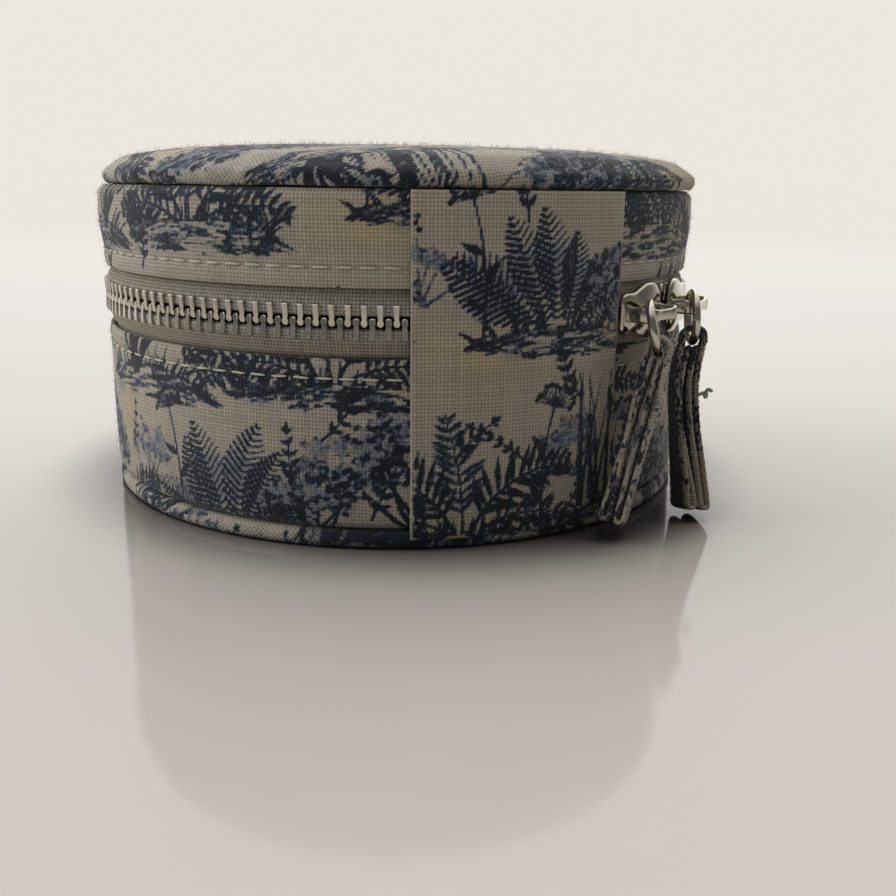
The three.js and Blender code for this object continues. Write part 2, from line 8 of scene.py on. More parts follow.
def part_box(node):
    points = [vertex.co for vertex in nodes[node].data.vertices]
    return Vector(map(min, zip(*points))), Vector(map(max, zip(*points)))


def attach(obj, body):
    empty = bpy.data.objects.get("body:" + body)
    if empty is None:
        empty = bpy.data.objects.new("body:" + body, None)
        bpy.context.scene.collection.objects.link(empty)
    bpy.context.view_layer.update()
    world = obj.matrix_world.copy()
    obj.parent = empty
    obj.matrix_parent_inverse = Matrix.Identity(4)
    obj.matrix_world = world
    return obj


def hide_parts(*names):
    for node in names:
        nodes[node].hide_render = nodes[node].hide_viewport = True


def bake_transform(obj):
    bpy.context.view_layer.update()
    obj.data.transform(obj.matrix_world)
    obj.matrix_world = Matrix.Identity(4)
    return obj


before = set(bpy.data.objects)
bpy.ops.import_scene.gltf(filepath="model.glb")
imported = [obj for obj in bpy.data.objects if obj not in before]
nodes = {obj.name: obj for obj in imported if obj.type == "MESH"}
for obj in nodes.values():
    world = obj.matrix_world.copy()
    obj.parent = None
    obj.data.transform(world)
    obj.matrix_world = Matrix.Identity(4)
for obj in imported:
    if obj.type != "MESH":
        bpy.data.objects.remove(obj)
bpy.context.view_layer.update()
mm = 0.001
print("frame loaded", len(nodes), "solids")

# The drum, in millimetres and degrees round it from the front
case = {
    "radius": 50.0,
    "zipCentre": 31.7,
    "lowerEdge": 26.8,
    "upperEdge": 36.2,
    "lowerStitch": 24.1,
    "upperStitch": 38.9,
    "chainRadius": 49.6,
    "hingeAngle": 180.0,
    "hingeHalf": 18.3,
    "bandEnd": 15.3,
}


# Small helpers

def wallPoint(angle, radius, height):
    a = np.radians(angle)
    return np.stack(np.broadcast_arrays(radius * np.sin(a), -radius * np.cos(a), height), -1)


def openSpan(margin):  # from one side of the hinge round the front to its other side
    return case["hingeAngle"] + margin, case["hingeAngle"] + 360 - margin


def smooth(t):
    t = np.clip(t, 0, 1)
    return t * t * (3 - 2 * t)


def hump(place, centre, width):  # a soft rise that is 1 at its centre
    return np.exp(-((place - centre) / width) ** 2)


def squared(wave, power):  # a sine or cosine pushed out towards a square, for flattened sections
    return np.sign(wave) * np.abs(wave) ** power


def ripple(angle, height, phase):  # slow unevenness of hand-sewn cloth, closed round the drum
    a = np.radians(angle)
    return (0.5 * np.sin(3 * a + phase) + 0.3 * np.sin(7 * a + 2.1 * phase + 0.06 * height)
            + 0.2 * np.sin(13 * a + 0.7 * phase - 0.13 * height))


def runningLength(line):
    return np.concatenate([[0], np.cumsum(np.linalg.norm(np.diff(line, axis=0), axis=1))])


def directions(line):  # the way a line runs at each of its points
    ahead = np.gradient(line, axis=0)
    return ahead / np.linalg.norm(ahead, axis=1)[:, None]


def along(profile, step):  # a polyline resampled at about one step, with its running length
    profile = np.array(profile, float)
    lengths = runningLength(profile)
    at = np.linspace(0, lengths[-1], max(2, int(round(lengths[-1] / step)) + 1))
    return np.stack([np.interp(at, lengths, profile[:, k]) for k in range(profile.shape[1])], 1), at


def rounded(profile, radius, steps):  # the same polyline with its corners rounded off
    profile = [np.array(p, float) for p in profile]
    out = [profile[0]]
    for before, here, after in zip(profile, profile[1:], profile[2:]):
        a, b = before - here, after - here
        cut = min(radius, np.linalg.norm(a) * 0.45, np.linalg.norm(b) * 0.45)
        start, end = here + a / np.linalg.norm(a) * cut, here + b / np.linalg.norm(b) * cut
        for k in range(steps + 1):
            t = k / steps
            out.append((1 - t) ** 2 * start + 2 * t * (1 - t) * here + t * t * end)
    return out + [profile[-1]]


def placed(points, matrix):
    m = np.array(matrix)
    return (points.reshape(-1, 3) @ m[:3, :3].T + m[:3, 3]).reshape(points.shape)


def newObject(name, data):
    piece = bpy.data.objects.new(name, data)
    bpy.context.scene.collection.objects.link(piece)
    return piece


def meshFrom(work, name):  # a finished bmesh as an object
    mesh = bpy.data.meshes.new(name)
    work.to_mesh(mesh)
    work.free()
    return newObject(name, mesh)


def gridPiece(name, points, uv, closeU=False, closeV=False, caps=False, merge=False, tile=None):
    # rows of points as one skin; uv has a row and a column more than points, for where the skin closes
    nu, nv = points.shape[:2]
    rowsOfFaces, columnsOfFaces = nu if closeU else nu - 1, nv if closeV else nv - 1
    i, j = (k.ravel() for k in np.meshgrid(np.arange(rowsOfFaces), np.arange(columnsOfFaces), indexing="ij"))
    corners = [(i, j), (i + 1, j), (i + 1, j + 1), (i, j + 1)]
    quads = np.stack([(a % nu) * nv + (b % nv) for a, b in corners], 1)
    places = np.stack([a * (nv + 1) + b for a, b in corners], 1)
    loops, uvPlaces = [quads.ravel()], [places.ravel()]
    counts = [np.full(len(quads), 4)]
    if caps:
        first = np.arange(nv)
        loops += [first, (nu - 1) * nv + first[::-1]]
        uvPlaces += [first, (nu - 1) * (nv + 1) + first[::-1]]
        counts.append(np.array([nv, nv]))
    loops, uvPlaces, counts = np.concatenate(loops), np.concatenate(uvPlaces), np.concatenate(counts)
    mesh = bpy.data.meshes.new(name)
    mesh.vertices.add(nu * nv)
    mesh.vertices.foreach_set("co", (points.reshape(-1, 3) * mm).astype(np.float32).ravel())
    mesh.loops.add(len(loops))
    mesh.loops.foreach_set("vertex_index", loops.astype(np.int32))
    mesh.polygons.add(len(counts))
    mesh.polygons.foreach_set("loop_start", (np.cumsum(counts) - counts).astype(np.int32))
    mesh.polygons.foreach_set("loop_total", counts.astype(np.int32))
    mesh.polygons.foreach_set("use_smooth", np.ones(len(counts), bool))
    layer = mesh.uv_layers.new(name="cloth")
    layer.data.foreach_set("uv", uv.reshape(-1, 2)[uvPlaces].astype(np.float32).ravel())
    mesh.update(calc_edges=True)
    mesh.validate()
    if tile is not None:
        colour = mesh.attributes.new("printInk", "FLOAT_COLOR", "POINT")
        ink = tile.sample(uv[:nu, :nv].reshape(-1, 2))
        colour.data.foreach_set("color", ink.astype(np.float32).ravel())
    if merge:
        work = bmesh.new()
        work.from_mesh(mesh)
        bmesh.ops.remove_doubles(work, verts=work.verts, dist=1e-6)
        work.to_mesh(mesh)
        work.free()
    return newObject(name, mesh)


def clothPlaces(across, up, endAcross=None, endUp=None):
    # the cloth map of a section that closes; the ends say what it reads where the section meets its start
    across, up = np.broadcast_arrays(across, up)
    uv = np.zeros((across.shape[0] + 1, across.shape[1] + 1, 2))
    uv[:-1, :-1, 0], uv[:-1, :-1, 1] = across, up
    uv[:-1, -1, 0] = across[:, 0] if endAcross is None else endAcross
    uv[:-1, -1, 1] = up[:, 0] if endUp is None else endUp
    return uv


def bareUv(points):
    return np.zeros((points.shape[0] + 1, points.shape[1] + 1, 2))


def turnedPiece(name, profile, segments, step, centre=1, tile=None, shift=(0.0, 0.0), bump=None,
                slip=(0.0, 0.0), hidden=None):
    # its cloth is a disc centred on the profile's first point (1) or on its last (-1)
    line, at = along(profile, step)
    if hidden is not None:  # a flat face that no side shows keeps every sixth row
        stay = ~hidden(line) | (np.arange(len(line)) % 6 == 0)
        stay[[0, -1]] = True
        line, at = line[stay], at[stay]
    turn = np.arange(segments + 1)[:, None] * 360.0 / segments
    radius = np.broadcast_to(line[:, 0], (segments, len(line)))
    height = np.broadcast_to(line[:, 1], radius.shape)
    if bump is not None:
        out, up = bump(turn[:-1], radius, height)
        radius, height = radius + out, height + up
    points = wallPoint(turn[:-1], radius, height)
    points[..., :2] += np.array(slip)
    reach = at if centre > 0 else at[-1] - at
    uv = np.zeros((segments + 1, len(line) + 1, 2))
    uv[:, :-1] = wallPoint(turn, reach, 0.0)[..., :2] + np.array(shift)
    return gridPiece(name, points, uv, closeU=True, merge=True, tile=tile)


def readInk(piece):  # the print's ink, wash and gold at each point
    values = np.empty(len(piece.data.vertices) * 4, np.float32)
    piece.data.attributes["printInk"].data.foreach_get("color", values)
    return values.reshape(-1, 4)


def writeInk(piece, values):
    piece.data.attributes["printInk"].data.foreach_set("color", values.ravel())


# Node helpers

def put(tree, kind, inputs=None, **settings):
    node = tree.nodes.new(kind)
    for key, value in settings.items():
        setattr(node, key, value)
    for key, value in (inputs or {}).items():
        if isinstance(value, bpy.types.NodeSocket):
            tree.links.new(value, node.inputs[key])
        else:
            node.inputs[key].default_value = value
    return node


def maths(tree, operation, *values):
    return put(tree, "ShaderNodeMath", dict(enumerate(values)), operation=operation).outputs[0]


def vectorMaths(tree, operation, first, second):
    return put(tree, "ShaderNodeVectorMath", {0: first, 1: second}, operation=operation)


def ramp(tree, value, start, stop, low=0.0, high=1.0, kind="LINEAR"):
    spans = {0: value, 1: start, 2: stop, 3: low, 4: high}
    return put(tree, "ShaderNodeMapRange", spans, interpolation_type=kind).outputs[0]


def noise(tree, place, scale, detail, output="Fac", **more):
    inputs = {"Vector": place, "Scale": scale, "Detail": detail, **more}
    return put(tree, "ShaderNodeTexNoise", inputs).outputs[output]


def blendColour(tree, share, first, second, mode="MIX"):
    inputs = {0: share, 6: first, 7: second}
    return put(tree, "ShaderNodeMix", inputs, data_type="RGBA", blend_type=mode, clamp_factor=True).outputs[2]


def shaded(tree, colour, level):  # the colour made darker or lighter by one number
    grey = put(tree, "ShaderNodeCombineColor", {0: level, 1: level, 2: level})
    return blendColour(tree, 1.0, colour, grey.outputs[0], "MULTIPLY")


def addBump(tree, shader, height, strength, depth):
    bump = put(tree, "ShaderNodeBump", {"Strength": strength, "Distance": depth, "Height": height})
    tree.links.new(bump.outputs[0], shader.inputs["Normal"])


def linear(level):
    share = level / 255
    return share / 12.92 if share <= 0.04045 else ((share + 0.055) / 1.055) ** 2.4


def rgb(red, green, blue):  # written as the eye names it, 0 to 255
    return linear(red), linear(green), linear(blue), 1.0


def newGroup(name, inputs, outputs, kind="ShaderNodeTree"):
    tree = bpy.data.node_groups.new(name, kind)
    for label, socketKind, value in inputs:
        socket = tree.interface.new_socket(label, in_out="INPUT", socket_type="NodeSocket" + socketKind)
        if value is not None:
            socket.default_value = value
    for label, socketKind in outputs:
        tree.interface.new_socket(label, in_out="OUTPUT", socket_type="NodeSocket" + socketKind)
    return tree, tree.nodes.new("NodeGroupInput").outputs, tree.nodes.new("NodeGroupOutput").inputs


def useGroup(tree, group, inputs):
    return put(tree, "ShaderNodeGroup", inputs, node_tree=group).outputs


def startMaterial(name, plain):  # plain holds what is the same all over the surface
    material = bpy.data.materials.new(name)
    material.use_nodes = True
    tree = material.node_tree
    tree.nodes.clear()
    shader = put(tree, "ShaderNodeBsdfPrincipled", plain)
    output = tree.nodes.new("ShaderNodeOutputMaterial")
    tree.links.new(shader.outputs[0], output.inputs[0])
    return material, tree, shader


def clothMap(tree):
    return put(tree, "ShaderNodeUVMap", uv_map="cloth").outputs[0]


def objectPlace(tree):
    return tree.nodes.new("ShaderNodeTexCoord").outputs["Object"]


# Shared effects

def plainWeaveGroup():  # warp and weft passing over and under each other, from a cloth map in millimetres
    tree, given, result = newGroup("plainWeave", [
        ("Cloth", "Vector", None), ("Pitch", "Float", 0.52), ("Wander", "Float", 0.06),
    ], [("Height", "Float"), ("Gap", "Float"), ("Thread", "Float")])

    def swing(step, lane):  # a thread's way over and under the ones that it crosses
        turn = maths(tree, "ADD", maths(tree, "SUBTRACT", step, 0.5), lane)
        return maths(tree, "COSINE", maths(tree, "MULTIPLY", turn, math.pi))

    def roundness(step):
        return maths(tree, "ABSOLUTE", maths(tree, "SINE", maths(tree, "MULTIPLY", step, math.pi)))

    drift = vectorMaths(tree, "SUBTRACT", noise(tree, given["Cloth"], 0.35, 1.0, "Color"), (0.5, 0.5, 0.5))
    inputs = {0: drift.outputs[0], "Scale": given["Wander"]}
    amount = put(tree, "ShaderNodeVectorMath", inputs, operation="SCALE")
    place = vectorMaths(tree, "ADD", given["Cloth"], amount.outputs[0])
    parts = put(tree, "ShaderNodeSeparateXYZ", {0: place.outputs[0]}).outputs
    x, y = maths(tree, "DIVIDE", parts[0], given["Pitch"]), maths(tree, "DIVIDE", parts[1], given["Pitch"])
    column, row = maths(tree, "FLOOR", x), maths(tree, "FLOOR", y)
    warp = maths(tree, "MULTIPLY_ADD", swing(y, column), 0.32, roundness(x))
    weft = maths(tree, "MULTIPLY_ADD", swing(x, row), -0.32, roundness(y))
    height = maths(tree, "MAXIMUM", warp, weft)
    onTop = maths(tree, "GREATER_THAN", warp, weft)
    warpLane = maths(tree, "MULTIPLY", column, onTop)
    weftLane = maths(tree, "MULTIPLY", maths(tree, "ADD", row, 517.3), maths(tree, "SUBTRACT", 1.0, onTop))
    lane = maths(tree, "ADD", warpLane, weftLane)
    tone = put(tree, "ShaderNodeTexWhiteNoise", {"W": lane}, noise_dimensions="1D").outputs["Value"]
    gap = ramp(tree, height, 0.45, 1.0, 1.0, 0.0)
    for label, socket in (("Height", height), ("Gap", gap), ("Thread", tone)):
        tree.links.new(socket, result[label])
    return tree


def clothFuzzGroup():  # lint and uneven tone that break up a cloth's colour
    tree, given, result = newGroup("clothFuzz", [("Place", "Vector", None), ("Scale", "Float", 900.0)],
                                   [("Mottle", "Float"), ("Lint", "Float")])
    tree.links.new(noise(tree, given["Place"], 90.0, 3.0), result["Mottle"])
    fine = noise(tree, given["Place"], given["Scale"], 2.0)
    tree.links.new(ramp(tree, fine, 0.62, 0.78), result["Lint"])
    return tree


plainWeave = plainWeaveGroup()
clothFuzz = clothFuzzGroup()


# Printed canvas

canvas = {
    "ground": rgb(196, 188, 172),
    "shade": rgb(168, 161, 148),
    "gold": rgb(200, 184, 144),
    "wash": rgb(126, 136, 150),
    "ink": rgb(16, 26, 44),
    "inkThin": rgb(74, 94, 120),
    "pitch": 0.52,
    "grainScale": 1.5,
    "inkGrain": 1.1,
    "inkUptake": 0.14,
    "inkEdge": (0.16, 0.5),
    "inkFull": (0.36, 0.7),
    "inkMost": 0.97,
    "washGrain": 1.6,
    "washEdge": (0.2, 0.8),
    "washMost": 0.8,
    "goldMost": 0.8,
    "mottle": 0.5,
    "lint": 0.45,
    "threadTone": (0.88, 1.08),
    "gapShade": 0.5,
}


def printedCanvas():
    material, tree, shader = startMaterial("printedCanvas", {
        "Roughness": 0.92, "Specular IOR Level": 0.25, "Sheen Weight": 0.22, "Sheen Roughness": 0.55,
    })
    c, cloth = canvas, clothMap(tree)
    weave = useGroup(tree, plainWeave, {"Cloth": cloth, "Pitch": c["pitch"]})
    fuzz = useGroup(tree, clothFuzz, {"Place": objectPlace(tree)})
    printed = put(tree, "ShaderNodeAttribute", attribute_name="printInk").outputs["Color"]
    layers = put(tree, "ShaderNodeSeparateColor", {0: printed}).outputs
    grain = noise(tree, cloth, c["grainScale"], 4.0, Roughness=0.7)
    uptake = maths(tree, "MULTIPLY", maths(tree, "SUBTRACT", weave["Thread"], 0.5), c["inkUptake"])
    broken = maths(tree, "MULTIPLY_ADD", maths(tree, "SUBTRACT", grain, 0.5), c["inkGrain"], uptake)
    inkAt = maths(tree, "ADD", broken, layers[0])
    washAt = maths(tree, "MULTIPLY_ADD", broken, c["washGrain"], layers[1])
    ground = blendColour(tree, maths(tree, "MULTIPLY", fuzz["Mottle"], c["mottle"]), c["ground"], c["shade"])
    colour = blendColour(tree, maths(tree, "MULTIPLY", layers[2], c["goldMost"]), ground, c["gold"])
    colour = blendColour(tree, ramp(tree, washAt, *c["washEdge"], 0.0, c["washMost"]), colour, c["wash"])
    ink = blendColour(tree, ramp(tree, inkAt, *c["inkFull"]), c["inkThin"], c["ink"])
    bare = maths(tree, "MULTIPLY", fuzz["Lint"], c["lint"])
    most = maths(tree, "SUBTRACT", c["inkMost"], bare)
    inkShare = maths(tree, "MULTIPLY", ramp(tree, inkAt, *c["inkEdge"]), most)
    colour = blendColour(tree, inkShare, colour, ink)
    thread = ramp(tree, weave["Thread"], 0.0, 1.0, *c["threadTone"])
    hollow = maths(tree, "SUBTRACT", 1.0, maths(tree, "MULTIPLY", weave["Gap"], c["gapShade"]))
    colour = shaded(tree, colour, maths(tree, "MULTIPLY", thread, hollow))
    tree.links.new(colour, shader.inputs["Base Color"])
    addBump(tree, shader, weave["Height"], 0.55, 0.00014)
    return material


# The print is this file's own: leafy thickets, ferns, broad leaves, seed heads and reeds on hatched banks
printTile = {"width": 176.0, "height": 132.0, "pixel": 0.16, "columns": 5, "rows": 5, "seed": 23}
upright = math.pi / 2


def unit(way):
    return np.array([math.cos(way), math.sin(way)])


def ways(points):  # the way that each piece of a drawn line runs
    return [math.atan2(b[1] - a[1], b[0] - a[0]) for a, b in zip(points, points[1:])]


class ClothTile:
    def __init__(self, width, height, pixel, columns, rows, seed):
        self.pixel = pixel
        self.columns, self.rows = int(round(width / pixel)), int(round(height / pixel))
        self.width, self.height = self.columns * pixel, self.rows * pixel
        self.grid = (columns, rows)
        self.ink = np.zeros((self.rows, self.columns), np.float32)
        self.wash = np.zeros_like(self.ink)
        self.gold = np.zeros_like(self.ink)
        self.dice = np.random.default_rng(seed)

    def patch(self, low, high):  # the tile's places in a box, round its edges where the box passes them
        c = np.arange(int(np.floor(low[0] / self.pixel)), int(np.ceil(high[0] / self.pixel)) + 1)
        r = np.arange(int(np.floor(low[1] / self.pixel)), int(np.ceil(high[1] / self.pixel)) + 1)
        x, y = np.meshgrid((c + 0.5) * self.pixel, (r + 0.5) * self.pixel)
        return np.ix_(r % self.rows, c % self.columns), x, y

    def lay(self, layer, index, value):
        layer[index] = np.maximum(layer[index], value)

    def stroke(self, layer, a, b, widthA, widthB, strength=1.0):
        a, b = np.array(a, float), np.array(b, float)
        pad = max(widthA, widthB) + 0.3
        index, x, y = self.patch(np.minimum(a, b) - pad, np.maximum(a, b) + pad)
        d = b - a
        t = np.clip(((x - a[0]) * d[0] + (y - a[1]) * d[1]) / max(d @ d, 1e-9), 0, 1)
        away = np.hypot(x - a[0] - t * d[0], y - a[1] - t * d[1])
        half = (widthA + (widthB - widthA) * t) / 2
        self.lay(layer, index, np.clip((half - away) / 0.22 + 0.5, 0, 1) * strength)

    def line(self, points, widthA, widthB, strength=1.0):
        count = len(points) - 1
        for k in range(count):
            wa = widthA + (widthB - widthA) * k / count
            wb = widthA + (widthB - widthA) * (k + 1) / count
            self.stroke(self.ink, points[k], points[k + 1], wa, wb, strength)

    def leaf(self, base, way, length, width, strength=1.0, over=False):  # over paints on top of what is there
        base = np.array(base, float)
        tip = base + unit(way) * length
        pad = width / 2 + 0.2
        index, x, y = self.patch(np.minimum(base, tip) - pad, np.maximum(base, tip) + pad)
        c, s = math.cos(way), math.sin(way)
        u = ((x - base[0]) * c + (y - base[1]) * s) / length
        v = -(x - base[0]) * s + (y - base[1]) * c
        half = width / 2 * np.sin(np.pi * np.clip(u, 0, 1) ** 0.75)
        inside = np.clip((half - np.abs(v)) / 0.2 + 0.4, 0, 1) * (u > 0) * (u < 1)
        if over:
            self.ink[index] += inside * (strength - self.ink[index])
        else:
            self.lay(self.ink, index, inside * np.where(v > 0, 1.0, 0.7) * strength)

    def blob(self, layer, centre, rx, ry, strength, edge=0.5):
        centre = np.array(centre, float)
        index, x, y = self.patch(centre - (rx, ry), centre + (rx, ry))
        d = np.hypot((x - centre[0]) / rx, (y - centre[1]) / ry)
        self.lay(layer, index, np.clip((1 - d) / edge, 0, 1) * strength)

    def arch(self, start, way, length, bow, steps):  # the points of a bowed stem, and the way its tip points
        points = [np.array(start, float)]
        for k in range(steps):
            way += bow / steps
            points.append(points[-1] + unit(way) * length / steps)
        return points, way

    def fern(self, start, way, length, bow, strength=1.0):
        steps = int(length / 1.25)
        points = self.arch(start, way, length, bow, steps)[0]
        self.line(points, 0.5, 0.25, strength)
        for k, stem in enumerate(ways(points)[1:-1], 2):
            size = 4.4 * math.sin(math.pi * (k / steps) ** 0.6 * 0.94) * length / 16 + 0.5
            for side in (-1, 1):
                turn = side * (0.95 + 0.15 * self.dice.standard_normal())
                self.leaf(points[k], stem + turn, size, 0.95, strength)

    def sprig(self, start, way, length, bow, leafLength, strength=1.0):
        steps = max(4, int(length / 1.5))
        points, last = self.arch(start, way, length, bow, steps)
        self.line(points, 0.42, 0.2, strength)
        for k, stem in enumerate(ways(points), 1):
            size = leafLength * (1 - 0.45 * k / steps) * self.dice.uniform(0.8, 1.15)
            for side in (-1, 1):
                self.leaf(points[k], stem + side * self.dice.uniform(0.6, 1.05), size, size * 0.42, strength)
        self.leaf(points[-1], last, leafLength * 0.7, leafLength * 0.3, strength)

    def clump(self, centre, radius, strength):  # one tuft of scribbled foliage, darker below
        self.blob(self.wash, centre, radius * 1.15, radius, 0.85, 0.6)
        for k in range(int(8 * radius * radius)):
            turn, far = self.dice.uniform(0, 2 * math.pi), math.sqrt(self.dice.uniform(0, 1)) * radius
            at = np.array(centre, float) + (far * math.cos(turn) * 1.12, far * math.sin(turn) * 0.9)
            light = 0.5 + 0.5 * far * math.sin(turn + 0.5) / radius
            dark = self.dice.uniform() > 0.3 + 0.45 * light
            tone = strength * (self.dice.uniform(0.65, 1.0) if dark else self.dice.uniform(0.0, 0.45))
            size = self.dice.uniform(0.8, 1.6)
            self.leaf(at, self.dice.uniform(-0.5, 3.6), size, size * 0.6, tone, over=True)

    def thicket(self, base, height, spread, lobes, strength=1.0):  # a bush on several stems, leaves in tufts
        base = np.array(base, float)
        for k in range(lobes):
            turn = math.pi * (k + 0.5) / lobes
            reach = self.dice.uniform(0.35, 1.0)
            at = base + (math.cos(turn) * spread * reach, height * (0.42 + 0.5 * math.sin(turn) * reach))
            knee = base + (at - base) * 0.5 + (self.dice.uniform(-1.6, 1.6), -self.dice.uniform(0, 1.5))
            self.line([base + (self.dice.uniform(-0.8, 0.8), 0), knee, at], 0.95 * strength, 0.35, strength)
            self.clump(at, self.dice.uniform(0.17, 0.29) * height * 0.72, strength)
        for k in range(lobes // 2):
            at = base + (self.dice.uniform(-0.7, 0.7) * spread, height * self.dice.uniform(0.5, 0.85))
            self.clump(at, self.dice.uniform(0.1, 0.2) * height, strength)

    def broadLeaf(self, base, way, length, strength=1.0):  # a hatched leaf with a pale midrib
        steps = 16
        points = self.arch(base, way, length, self.dice.uniform(-0.5, 0.5), steps)[0]
        for k, stem in enumerate(ways(points), 1):
            half = length * 0.2 * math.sin(math.pi * (k / (steps + 1)) ** 0.8)
            for side, thick, thin in ((-1, 0.3, 0.2), (1, 0.5, 0.42)):
                off = unit(stem + upright) * side
                end = points[k] + off * half + unit(stem) * half * 0.6
                self.stroke(self.ink, points[k] + off * 0.2, end, thick, thin, strength)
        self.blob(self.wash, points[steps // 2], length * 0.3, length * 0.3, 0.85, 0.5)

    def seedHead(self, base, height, lean, size):
        points, way = self.arch(base, upright + lean * 0.3, height, -lean, 10)
        self.line(points, 0.4, 0.28)
        for turn in np.linspace(way - 1.5, way + 1.5, 13):
            end = points[-1] + unit(turn) * size * self.dice.uniform(0.75, 1.05)
            self.stroke(self.ink, points[-1], end, 0.24, 0.2, 0.9)
            self.blob(self.ink, end, 0.52, 0.52, 1.0, 0.5)
        for k, side in ((2, 1), (4, -1), (6, 1)):
            self.leaf(points[k], way + side * 0.9, 3.6, 1.2)

    def bank(self, centre, halfWidth, height, strength=1.0):
        centre = np.array(centre, float)
        for k in range(7):
            spot = centre + (self.dice.uniform(-0.8, 0.8) * halfWidth, self.dice.uniform(-0.4, 0.8) * height)
            wide, tall = self.dice.uniform(2, 4.5), self.dice.uniform(1, 2)
            self.blob(self.wash, spot, wide, tall, self.dice.uniform(0.3, 0.75), 0.8)
        for k in range(int(halfWidth * 11)):
            x = self.dice.uniform(-1, 1)
            top = height * math.sqrt(max(0.0, 1 - x * x)) * self.dice.uniform(-0.5, 1.0)
            at = centre + (x * halfWidth, top * 0.8)
            run = self.dice.uniform(1.0, 3.4)
            tone = strength * self.dice.uniform(0.5, 1.0)
            self.stroke(self.ink, at, at + (run, -run * x * 0.35), 0.42, 0.2, tone)
        for k in range(int(halfWidth * 2.6)):
            x = self.dice.uniform(-0.95, 0.95)
            foot = centre + (x * halfWidth, height * math.sqrt(1 - x * x) * 0.7)
            blade = self.arch(foot, upright - x * 0.6, self.dice.uniform(1.5, 4.2), -x * 0.8, 4)[0]
            self.line(blade, 0.4, 0.14, strength)

    def reeds(self, base, count, spread, height, strength=1.0):
        for k in range(count):
            foot = np.array(base, float) + (self.dice.uniform(-1, 1) * spread, self.dice.uniform(-0.6, 0.6))
            tall = height * self.dice.uniform(0.55, 1.0)
            way, bow = upright + self.dice.uniform(-0.12, 0.12), self.dice.uniform(-0.35, 0.35)
            points = self.arch(foot, way, tall, bow, 8)[0]
            self.line(points, 0.55, 0.16, strength * self.dice.uniform(0.75, 1.0))
            if k % 3 == 0:
                self.leaf(points[6], upright, 2.6, 0.9, strength)

    def scene(self, kind, x, y):
        dice = self.dice
        wide = dice.uniform(13, 18)
        self.bank((x, y), wide, dice.uniform(3.2, 4.8))
        if kind == 0:
            self.thicket((x - 3, y + 2), dice.uniform(21, 26), dice.uniform(11, 13.5), 11)
            self.fern((x + 9, y + 3), 1.1, 14, -1.0)
            self.fern((x + 10, y + 3), 0.45, 12, -0.9, 0.85)
        elif kind == 1:
            for side in (-1, 1):
                self.fern((x + side * 1.5, y + 3), upright - side * 0.35, 19, -side * 1.4)
                self.fern((x + side * 3, y + 3), upright - side * 1.0, 14, -side * 1.0, 0.85)
            self.fern((x, y + 3), upright, 17, 0.3, 0.75)
            self.seedHead((x + 12, y + 3), 17, 0.4, 3.4)
            self.thicket((x - 13, y + 2), 12, 6, 6, 0.75)
        elif kind == 2:
            self.reeds((x - 8, y + 3), 18, 5, 21)
            self.thicket((x + 6, y + 2), dice.uniform(15, 18), dice.uniform(8, 10), 9)
            self.seedHead((x - 3, y + 3), 19, 0.25, 3.8)
        else:
            for k in range(7):
                self.broadLeaf((x + 1.2 * (k - 3), y + 3), upright + (3 - k) * 0.36, dice.uniform(12, 17))
            self.seedHead((x - 11, y + 2), 18, -0.4, 3.2)
            self.thicket((x + 12, y + 2), 13, 6.5, 7, 0.8)

    def spots(self, layer, count, wide, tall, tone, edge):  # broad soft patches anywhere on the tile
        for k in range(count):
            at = (self.dice.uniform(0, self.width), self.dice.uniform(0, self.height))
            rx, ry = self.dice.uniform(*wide), self.dice.uniform(*tall)
            self.blob(layer, at, rx, ry, self.dice.uniform(*tone), edge)

    def draw(self):
        dice = self.dice
        across, up = self.width / self.grid[0], self.height / self.grid[1]
        for j in range(self.grid[1]):
            for i in range(self.grid[0]):
                x = (i + 0.5 * (j % 2) + dice.uniform(-0.14, 0.14)) * across
                y = (j + dice.uniform(-0.12, 0.12)) * up
                between = (x + across * 0.5, y + up * 0.35)
                self.thicket(between, dice.uniform(8, 11), dice.uniform(5, 8), 6, 0.55)
                self.scene((i * 2 + j * 3 + int(dice.integers(0, 2))) % 4, x, y)
                for k in range(2):
                    at = (x + dice.uniform(-14, 14), y + dice.uniform(6, 22))
                    way, length, bow = dice.uniform(0.5, 2.6), dice.uniform(6, 10), dice.uniform(-1, 1)
                    self.sprig(at, way, length, bow, dice.uniform(2.0, 3.0), 0.9)
        self.spots(self.wash, 40, (4, 11), (2, 5), (0.2, 0.6), 0.9)
        self.spots(self.gold, 26, (5, 13), (4, 9), (0.4, 0.95), 0.7)

    def sample(self, uv):  # the three layers at places of a cloth map, read between the tile's points
        x, y = uv[:, 0] / self.pixel - 0.5, uv[:, 1] / self.pixel - 0.5
        c, r = np.floor(x).astype(int), np.floor(y).astype(int)
        fx, fy = x - c, y - r
        c0, c1, r0, r1 = c % self.columns, (c + 1) % self.columns, r % self.rows, (r + 1) % self.rows
        out = []
        for layer in (self.ink, self.wash, self.gold):
            a = layer[r0, c0] * (1 - fx) + layer[r0, c1] * fx
            b = layer[r1, c0] * (1 - fx) + layer[r1, c1] * fx
            out.append(a * (1 - fy) + b * fy)
        return np.stack(out + [np.ones(len(uv))], 1)


tile = ClothTile(**printTile)
tile.draw()
canvasMaterial = printedCanvas()
print("print drawn, ink cover", round(float((tile.ink > 0.5).mean()), 3))


# Other materials

